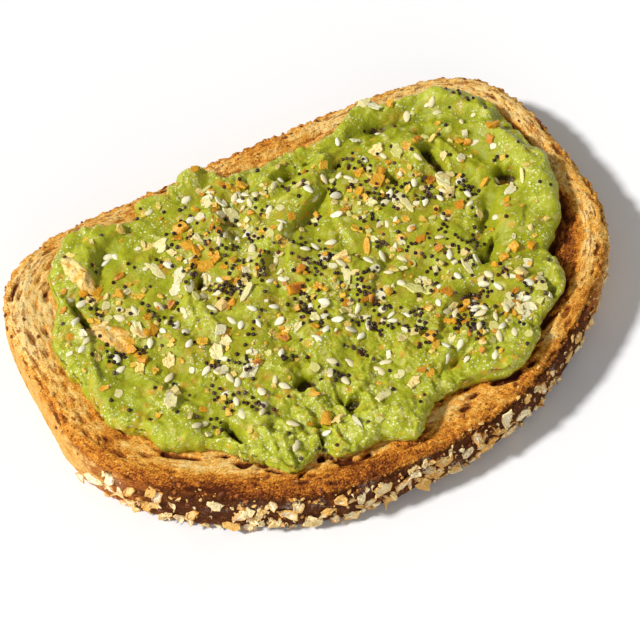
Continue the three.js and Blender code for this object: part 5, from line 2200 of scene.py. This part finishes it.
@dataclass
class Seasoning:
    """The seeds and dried flakes on the mash."""

    mash: MashForm
    ground: Ground
    sowing: Sowing
    shapes_each: int = 8
    large_flakes: int = 30
    small_flakes: int = 112
    sunk_flakes: int = 150
    bits: int = 360
    sunk_lengths: tuple[float, float] = (1.8, 3.6)
    bit_lengths: tuple[float, float] = (0.6, 1.9)
    apart_sesame: int = 44
    heaped_sesame: int = 122
    single_poppies: int = 210
    sesame_size: Size = (3.3, 1.9, 0.95)
    poppy_width: float = 1.16
    poppy_dent: float = 0.14
    rusty_share: float = 0.06
    # A poppy seed this high over the bare mash lies on a flake, and only this share of them stays there.
    on_flake: float = 0.3
    stays_on_flake: float = 0.3
    # How a clump of poppy seeds grows: the least and greatest step to the next seed, the greatest one in a
    # heap, how many seeds make a heap, the least distance between two, and how many more seeds there are
    # than the clump's list says.
    near_step: float = 0.85
    far_step: float = 2.8
    heap_step: float = 2.0
    heap: int = 14
    poppies_apart: float = 0.8
    more_poppies: float = 1.15
    cream: Palette = Palette((shade(238, 230, 194), shade(230, 218, 172), shade(244, 238, 210)), 0.05)
    poppy: Palette = Palette(
        (shade(46, 22, 12), shade(56, 32, 22), shade(34, 14, 8), shade(92, 66, 56), shade(50, 26, 16)), 0.25
    )
    rusty: Palette = Palette((shade(96, 34, 22), shade(82, 40, 26)), 0.2)
    garlic: Palette = Palette(
        (shade(236, 188, 56), shade(230, 170, 36), shade(240, 202, 84), shade(212, 142, 24))
        + (shade(240, 214, 112),),
        0.08,
    )
    onion: Palette = Palette(
        (shade(232, 222, 162), shade(240, 232, 192), shade(214, 210, 128), shade(230, 208, 138)), 0.06
    )

    def flakes(self) -> list[Piece]:
        """Lays the dried garlic and onion: the largest at their own places, and the rest by chance.

        Returns:
            The garlic and the onion, each as one piece.
        """
        chance = Chance(79)
        shapes = {form: Kind() for form in FlakeForm}
        for k in range(self.shapes_each):
            shapes[NUGGET].keep(Cutter.chunk(chance, 5, 0.045))
            shapes[CHIP].keep(Cutter.chip(chance, 11 + k % 4, 0.14, chance.within(-0.08, 0.14), 0.3, 0.07))
            shapes[STICK].keep(Cutter.chip(chance, 8, 0.3, chance.within(-0.1, 0.14), 0.12, 0.04))
            shapes[BIT].keep(Cutter.chunk(chance, 3, 0.04))
            shapes[SUNK].keep(Cutter.chip(chance, 8 + k % 2, 0.3, 0.0, 0.14, 0.03))
            shapes[CRUST].keep(Cutter.crust(chance, 64, 12))
        gathered = {Sort.GARLIC: Scattered("garlic_flakes"), Sort.ONION: Scattered("onion_flakes")}
        for flake in FLAKES:
            self.lay_flake(flake, shapes, gathered, chance)
        reach = [Spot(f.x, f.y, 1, 0.4 * f.length, 0) for f in FLAKES]
        self.sowing.taken.extend(reach)
        spots = self.sowing.scatter(self.large_flakes, 5, 3.8, crowding=0.6, apart=0)
        spots += self.sowing.scatter(self.small_flakes, 15, 2.8, gathered=0.5, crowding=0.55, apart=0)
        for spot in spots:
            form = chance.pick((NUGGET, CHIP, CHIP, STICK))
            length = 2 * spot.reach * chance.within(0.7, 1.05)
            width = length * chance.within(0.55, 0.85) if form is not STICK else 1.3
            self.lay_flake(self.chosen(spot, length, width, form, chance), shapes, gathered, chance)
        loose = Sowing(self.mash, from_edge=0.4)
        for spot in loose.scatter(self.sunk_flakes, 23, 3.0, gathered=0.6, crowding=0.5, apart=0):
            length = chance.within(*self.sunk_lengths)
            flake = self.chosen(spot, length, length * chance.within(0.55, 0.9), SUNK, chance)
            self.lay_flake(flake, shapes, gathered, chance)
        for spot in loose.scatter(self.bits, 19, 1.4, gathered=0.62, crowding=0.3, apart=0):
            length = chance.within(*self.bit_lengths)
            flake = self.chosen(spot, length, length * chance.within(0.6, 0.95), BIT, chance)
            self.lay_flake(flake, shapes, gathered, chance)
        return [gathered[sort].build(38) for sort in Sort]

    def chosen(self, spot: Spot, length: float, width: float, form: FlakeForm, chance: Chance) -> Flake:
        """Chooses the sort and tint of a flake at a spot.

        Args:
            spot: Where it lies.
            length: Its length in millimetres.
            width: Its width in millimetres.
            form: Its form.
            chance: Random numbers for the choice.

        Returns:
            The flake.
        """
        sort = Sort.GARLIC if chance.draw() < (0.4 if form is SUNK else 0.6) else Sort.ONION
        palette = self.garlic if sort is Sort.GARLIC else self.onion
        return Flake(spot.x, spot.y, length, width, math.degrees(spot.turn), form, palette.pick(chance), sort)

    def lay_flake(self, flake: Flake, shapes: dict, gathered: dict, chance: Chance) -> None:
        """Lays one flake on the mash, a little sunk and tilted.

        Args:
            flake: What lies where.
            shapes: The modelled shapes of each form.
            gathered: The pieces of each sort, to which the flake is added.
            chance: Random numbers for its shape and lie.
        """
        shape = chance.pick(shapes[flake.form].shapes)
        if flake.form is CRUST:
            self.drape(flake, shape, gathered[flake.sort])
            return
        point, normal = self.ground.below(flake.x, flake.y)
        tilt = Vector((chance.within(-0.34, 0.34), chance.within(-0.34, 0.34), 0))
        thick = {
            NUGGET: min(2.2, 0.66 * flake.width),
            CHIP: max(2.2, 0.95 * flake.width),
            STICK: max(1.8, flake.width),
            SUNK: 1.6,
            BIT: 0.8 * flake.width,
        }[flake.form]
        lift = {SUNK: -0.02, BIT: 0.15 * thick}.get(flake.form, 0.3)
        if flake.form is SUNK:
            tilt *= 0.2
        matrix = laid(point, (normal + tilt).normalized(), math.radians(flake.turn), lift)
        rim = AMBER if flake.tint is RUST else None
        size = 0.88 if flake.form is NUGGET else 1.0
        scale = (flake.length * size, flake.width * size, thick)
        gathered[flake.sort].add(shape, matrix, flake.tint, scale, rim)

    def drape(self, flake: Flake, shape: tuple[Array, list], piece: Scattered) -> None:
        """Lays a thin crust over the mash, which it follows.

        Args:
            flake: What lies where.
            shape: The crust's shape, with its heights in millimetres.
            piece: What it is added to.
        """
        points, faces = shape
        turn = math.radians(flake.turn)
        u, v = points[:, 0] * flake.length, points[:, 1] * flake.width
        x = flake.x + u * math.cos(turn) - v * math.sin(turn)
        y = flake.y + u * math.sin(turn) + v * math.cos(turn)
        floor = np.array([self.ground.below(*place)[0].z for place in zip(x, y)])
        level = 0.5 * floor + 0.5 * floor.mean()
        placed = np.stack((x, y, np.maximum(level, floor) - 0.3 + points[:, 2]), axis=1)
        golden = 0.75 + points[:, 0] * 0.7 - 0.6 * points[:, 2] + 2.4 * layered_noise(x / 1.5, y / 1.5, 311)
        golden = np.clip(golden, 0, 1)[:, None]
        piece.add_points(placed, faces, np.array(flake.tint) * (1 - golden) + np.array(HONEY) * golden)

    def sesame(self) -> Piece:
        """Lays the sesame seeds.

        Returns:
            The seeds, as one piece.
        """
        kind = Kind()
        kind.keep(Cutter.seed(*self.sesame_size))
        chance = Chance(71)
        gathered = Scattered("sesame_seeds")
        spots = self.sowing.scatter(self.apart_sesame, 7, 3.4)
        spots += self.sowing.scatter(self.heaped_sesame, 17, 3.1, gathered=0.7, crowding=0.6, apart=0)
        for spot in spots:
            point, normal = self.ground.below(spot.x, spot.y)
            tilt = Vector((chance.within(-0.25, 0.25), chance.within(-0.25, 0.25), 0))
            matrix = laid(point, (normal + tilt).normalized(), spot.turn, chance.within(-0.1, 0.3))
            scale = (spot.size, spot.size * chance.within(0.88, 1.08), chance.within(0.9, 1.15))
            gathered.add(kind.shapes[0], matrix, self.cream.pick(chance), scale)
        return gathered.build(70)

    def poppies(self, bare: Ground) -> Piece:
        """Lays the poppy seeds, thickest where they fell in clusters, and few of them on flakes.

        Args:
            bare: The bread and the mash without the flakes.

        Returns:
            The seeds, as one piece.
        """
        kind = Kind()
        kind.keep(Cutter.ball(self.poppy_width, self.poppy_dent))
        chance = Chance(73)
        gathered = Scattered("poppy_seeds")
        singles = Sowing(self.mash, from_edge=0.8).scatter(self.single_poppies, 37, 1.0, 0.35, 0.3)
        places = [(spot.x, spot.y) for spot in singles]
        for clump in CLUMPS:
            places += self.grow(clump, chance)
        for x, y in places:
            point, normal = self.ground.below(x, y)
            if point.z > bare.below(x, y)[0].z + self.on_flake and chance.draw() > self.stays_on_flake:
                continue
            matrix = laid(point, (normal * 0.5 + UP * 0.5).normalized(), chance.draw() * TURN, 0.22)
            palette = self.rusty if chance.draw() < self.rusty_share else self.poppy
            size = chance.within(0.8, 1.12)
            gathered.add(kind.shapes[0], matrix, palette.pick(chance), (size, size * 0.9, size * 0.88))
        return gathered.build(180)

    def grow(self, clump: Clump, chance: Chance) -> list[tuple[float, float]]:
        """Grows a clump seed by seed, each touching an earlier one or near it.

        Args:
            clump: The clump's middle and size.
            chance: Random numbers for its growth.

        Returns:
            The places of its seeds.
        """
        places = [(clump.x, clump.y)]
        farthest = self.far_step if clump.count < self.heap else self.heap_step
        while len(places) < self.more_poppies * clump.count:
            x, y = chance.pick(places)
            turn, step = chance.draw() * TURN, chance.within(self.near_step, farthest)
            x, y = x + step * math.cos(turn), y + step * math.sin(turn)
            if all(math.hypot(x - u, y - v) > self.poppies_apart for u, v in places):
                places.append((x, y))
        return places


@dataclass
class CrustTopping:
    """The rolled oats baked onto the dome's crust, and the loose crumbs of the toasted edge."""

    form: SliceForm
    ground: Ground
    oat_count: int = 50
    oat_span: tuple[float, float] = (186, 352)
    oat_rows: tuple[float, ...] = (4, 8.2, 12)
    oat_size: Size = (5.8, 3.9, 0.95)
    oat_stray: float = 2.2
    # The solid oats draw this many numbers for their outlines, which these oats pass over.
    outline_draws: int = 7
    trimmed: float = 0.86
    more_oats: int = 330
    crumbs: int = 560
    # Where the small oats lie, in degrees round the crust and in millimetres up it, and how long they are.
    # The heights and lengths, as those below, are the least one and how much more the greatest is.
    small_span: tuple[float, float] = (192, 350)
    small_heights: tuple[float, float] = (0.8, 13.6)
    small_lengths: tuple[float, float] = (0.8, 3.4)
    # How far in from the crust the crumbs lie, and how large they are.
    crumb_insets: tuple[float, float] = (0.3, 7.5)
    crumb_sizes: tuple[float, float] = (0.35, 0.8)
    oat: Palette = Palette(
        (shade(253, 238, 188), shade(251, 223, 152), shade(254, 244, 206), shade(240, 192, 108)), 0.05
    )
    oat_rim: Palette = Palette((shade(226, 158, 70), shade(240, 190, 104), shade(254, 230, 170)), 0.06)
    crumb: Palette = Palette(
        (shade(214, 140, 54), shade(176, 98, 34), shade(238, 190, 108), shade(120, 62, 24)), 0.15
    )

    def outward(self, angle: float) -> Vector:
        """Gives the crust's outward direction at an angle."""
        heading = float(self.form.heading(np.array(angle)))
        return Vector((math.sin(heading), -math.cos(heading), 0))

    def on_wall(self, angle: float, z: float) -> tuple[Vector, Vector] | None:
        """Gives the point of the crust wall at an angle and height, and the wall's direction there.

        Args:
            angle: The angle in radians.
            z: The height over the table.

        Returns:
            The point and the direction, or None where no wall is met.
        """
        reach = float(self.form.crust_reach(np.array(angle)))
        middle = Vector((reach * math.cos(angle), self.form.widest_at + reach * math.sin(angle), z))
        out = self.outward(angle)
        return self.ground.towards(middle + out * 12, -out)

    def oats(self) -> Piece:
        """Lays rolled oats against the dome's crust, the largest first.

        Returns:
            The oats, as one piece.
        """
        shapes = Kind()
        chance = Chance(83)
        for k in range(8):
            shapes.keep(Cutter.chip(chance, 9 + k % 3, 0.14, chance.within(-0.16, 0.4), 0.3, 0.1))
        gathered = Scattered("rolled_oats")
        first = Chance(21)
        for i in range(self.oat_count):
            step = (i + 0.5 + 0.7 * (first.draw() - 0.5)) / self.oat_count
            angle = math.radians(self.oat_span[0] + (self.oat_span[1] - self.oat_span[0]) * step)
            z = self.oat_rows[i % len(self.oat_rows)] + self.oat_stray * (first.draw() - 0.5)
            size = 0.7 + 0.5 * first.draw()
            for _ in range(self.outline_draws):
                first.draw()
            turn = first.draw() * TURN
            length, width, thick = self.oat_size
            size *= self.trimmed
            self.lay_oat(gathered, shapes, chance, angle, z, (length * size, width * size, thick * 1.5), turn)
        for _ in range(self.more_oats):
            angle = math.radians(chance.within(*self.small_span))
            z = chance.mostly_least(*self.small_heights, power=1.1)
            length = chance.mostly_least(*self.small_lengths)
            size = (length, length * chance.within(0.35, 0.8), 0.9 + 0.15 * length)
            self.lay_oat(gathered, shapes, chance, angle, z, size, chance.draw() * TURN)
        return gathered.build(32)

    def lay_oat(
        self, gathered: Scattered, shapes: Kind, chance: Chance,
        angle: float, z: float, size: Size, turn: float,
    ) -> None:
        """Lays one oat on the crust wall.

        Args:
            gathered: The piece that the oat is added to.
            shapes: The modelled shapes of oats.
            chance: Random numbers for its shape and lie.
            angle: Where round the crust it lies.
            z: How high up the crust.
            size: Its length, width and thickness.
            turn: How it is turned against the wall.
        """
        met = self.on_wall(angle, z)
        if met is None:
            return
        point, normal = met
        far = float(smooth(math.radians(285), math.radians(320), np.array(angle)))
        lean = Vector((chance.within(-0.4, 0.3), chance.within(-0.3, 0.3), chance.within(-0.1, 0.9)))
        facing = (normal * (0.4 + far) + self.outward(angle) * 0.8 + lean * (1 - 0.5 * far)).normalized()
        matrix = laid(point, facing, turn, 0.25)
        scale = tuple(side * (1 - 0.28 * far) for side in (size[0], size[1], size[2] * 2.2))
        shape = chance.pick(shapes.shapes)
        gathered.add(shape, matrix, self.oat.pick(chance), scale, self.oat_rim.pick(chance))

    def edge_crumbs(self) -> Piece:
        """Lays crumbs along the toasted edge, as rough as a cut and toasted crumb is.

        Returns:
            The crumbs, as one piece.
        """
        shapes = Kind()
        chance = Chance(89)
        for _ in range(5):
            shapes.keep(Cutter.nugget(chance, 6, 0.03))
        gathered = Scattered("edge_crumbs")
        for _ in range(self.crumbs):
            angle = chance.draw() * TURN
            inset = chance.mostly_least(*self.crumb_insets)
            reach = float(self.form.crust_reach(np.array(angle))) - inset
            x, y = reach * math.cos(angle), self.form.widest_at + reach * math.sin(angle)
            point, normal = self.ground.below(x, y)
            size = chance.mostly_least(*self.crumb_sizes)
            along = float(self.form.heading(np.array(angle))) + chance.within(-0.5, 0.5)
            matrix = laid(point, normal, along, 0.08)
            scale = (size * chance.within(1.0, 1.8), size, size * 0.8)
            gathered.add(chance.pick(shapes.shapes), matrix, self.crumb.pick(chance), scale)
        return gathered.build(30)


# ---- the studio


@dataclass(frozen=True)
class Studio:
    """The table, the lights and the camera."""

    azimuth: float = -28.05
    elevation: float = 57.0
    lens: float = 130.0
    sensor: float = 36.0
    distance: float = 0.616
    target: tuple[float, float, float] = (-0.00351, -0.00115, 0.0085)
    sun_way: tuple[float, float] = (-0.981, 0.215)
    sun_elevation: float = 45.0
    sun_strength: float = 3.4
    sun_width: float = 7.0
    fill_way: tuple[float, float] = (-0.35, -0.94)
    fill_elevation: float = 16.0
    fill_strength: float = 0.8
    fill_width: float = 70.0
    sky: float = 0.25
    table_size: float = 3.0

    def set_up(self) -> None:
        """Makes the table, the sun, the sky and the camera."""
        self.lay_table()
        self.light()
        self.aim_camera()

    def lay_table(self) -> None:
        """Makes the pale table top under the toast."""
        Bench.clear_selection()
        bpy.ops.mesh.primitive_plane_add(size=self.table_size, location=(0, 0, -0.0001))
        table = Bench.named("table_top")
        bpy.ops.object.transform_apply(location=True, rotation=False, scale=False)
        finish = FinishTree("table_top")
        finish.set(base_color=(0.93, 0.93, 0.93, 1), roughness=0.9, specular_ior_level=0.1)
        finish.dress(table)

    def light(self) -> None:
        """Hangs a soft sun to the left, a broad low fill in front and an even pale sky."""
        self.hang("key_sun", self.sun_way, self.sun_elevation, self.sun_strength, self.sun_width)
        self.hang("front_fill", self.fill_way, self.fill_elevation, self.fill_strength, self.fill_width)
        world = bpy.data.worlds.new("sky")
        bpy.context.scene.world = world
        world.use_nodes = True
        background = next(n for n in world.node_tree.nodes if n.type == "BACKGROUND")
        background.inputs["Color"].default_value = (1, 1, 1, 1)
        background.inputs["Strength"].default_value = self.sky
        bpy.context.scene.view_settings.view_transform = "Standard"

    def hang(
        self, name: str, way: tuple[float, float], elevation: float, strength: float, width: float
    ) -> None:
        """Hangs one sun lamp.

        Args:
            name: Its name.
            way: The way to it over the table.
            elevation: Its height over the table in degrees.
            strength: Its strength.
            width: How wide it looks in degrees.
        """
        lamp = bpy.data.lights.new(name, "SUN")
        lamp.energy = strength
        lamp.angle = math.radians(width)
        sun = bpy.data.objects.new(name, lamp)
        rise = math.radians(elevation)
        back = Vector((way[0] * math.cos(rise), way[1] * math.cos(rise), math.sin(rise)))
        sun.rotation_euler = back.to_track_quat("Z", "Y").to_euler()
        sun.location = back
        bpy.context.scene.collection.objects.link(sun)

    def aim_camera(self) -> None:
        """Sets the camera's place, aim and lens."""
        camera = bpy.data.cameras.new("camera")
        camera.lens = self.lens
        camera.sensor_width = self.sensor
        holder = bpy.data.objects.new("camera", camera)
        turn, rise = math.radians(self.azimuth), math.radians(self.elevation)
        back = Vector((math.sin(turn) * math.cos(rise), -math.cos(turn) * math.cos(rise), math.sin(rise)))
        holder.location = Vector(self.target) + back * self.distance
        holder.rotation_euler = back.to_track_quat("Z", "Y").to_euler()
        bpy.context.scene.collection.objects.link(holder)
        bpy.context.scene.camera = holder


ROLLED_OAT = SmallFinish(
    "rolled_oat", shade(212, 142, 58), browning=0.55, blotch=1.0, roughness=0.6, translucence=0.0,
    bump=0.25, speckle=0.22, gloss=0.2,
)
TOASTED_CRUMB = SmallFinish(
    "toasted_crumb", shade(120, 66, 28), browning=0.4, blotch=1.2, roughness=0.7, translucence=0.0,
    bump=0.1, grain=0.4,
)
DRIED_GARLIC = SmallFinish(
    "dried_garlic", shade(208, 126, 26), browning=0.5, blotch=1.0, roughness=0.3, translucence=0.35,
    bump=0.25, speckle=0.2, gloss=0.5,
)
DRIED_ONION = SmallFinish(
    "dried_onion", shade(214, 186, 90), browning=0.45, blotch=1.6, roughness=0.4, translucence=0.45,
    bump=0.2, speckle=0.2,
)
SESAME_HULL = SmallFinish(
    "sesame_hull", shade(224, 204, 150), browning=0.3, blotch=2.2, roughness=0.5, translucence=0.35,
    bump=0.05, speckle=0.12, gloss=0.25,
)
POPPY_HULL = SmallFinish(
    "poppy_hull", shade(24, 10, 4), browning=0.4, blotch=0.8, roughness=0.2, translucence=0.0, bump=0.12,
    grain=0.25,
)


def hand_over(
    piece: Piece, finish: BreadFinish | MashFinish | SmallFinish, slot: str, *nodes: str
) -> None:
    """Dresses a piece, lets it ride on the body, hides the solid parts that it stands for, and reports it.

    Args:
        piece: The finished piece.
        finish: What it is dressed in.
        slot: The material slot that it belongs to; it is not used.
        nodes: The solid parts that it stands for.
    """
    finish.dress(piece)
    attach(piece, "root")
    if nodes:
        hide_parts(*nodes)
    triangles = sum(len(face.vertices) - 2 for face in piece.data.polygons)
    log.info("%s: %d triangles", piece.name, triangles)


def main() -> None:
    """Builds and dresses the toast, its mash and its seasoning, and sets up the studio."""
    logging.basicConfig(level=logging.INFO, format="%(message)s")
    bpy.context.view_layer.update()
    Studio().set_up()
    slice_form = SliceForm()
    mash_form = MashForm(slice_form)

    bread = BreadSlice(slice_form, mash_form).build()
    hand_over(bread, BreadFinish(), "toasted_bread", "toast_slice")
    topping = CrustTopping(slice_form, Ground(bread))
    hand_over(topping.oats(), ROLLED_OAT, "toasted_bread")
    hand_over(topping.edge_crumbs(), TOASTED_CRUMB, "toasted_bread")

    mash = AvocadoMash(mash_form).build()
    hand_over(mash, MashFinish(), "avocado", "avocado_mash")

    seasoning = Seasoning(mash_form, Ground(mash), Sowing(mash_form))
    garlic, onion = seasoning.flakes()
    hand_over(garlic, DRIED_GARLIC, "avocado")
    hand_over(onion, DRIED_ONION, "avocado")
    seasoning.ground = Ground(mash, garlic, onion)
    sesame = seasoning.sesame()
    hand_over(sesame, SESAME_HULL, "avocado")
    seasoning.ground = Ground(bread, mash, garlic, onion, sesame)
    hand_over(seasoning.poppies(Ground(bread, mash)), POPPY_HULL, "avocado")


if __name__ == "__main__":
    main()
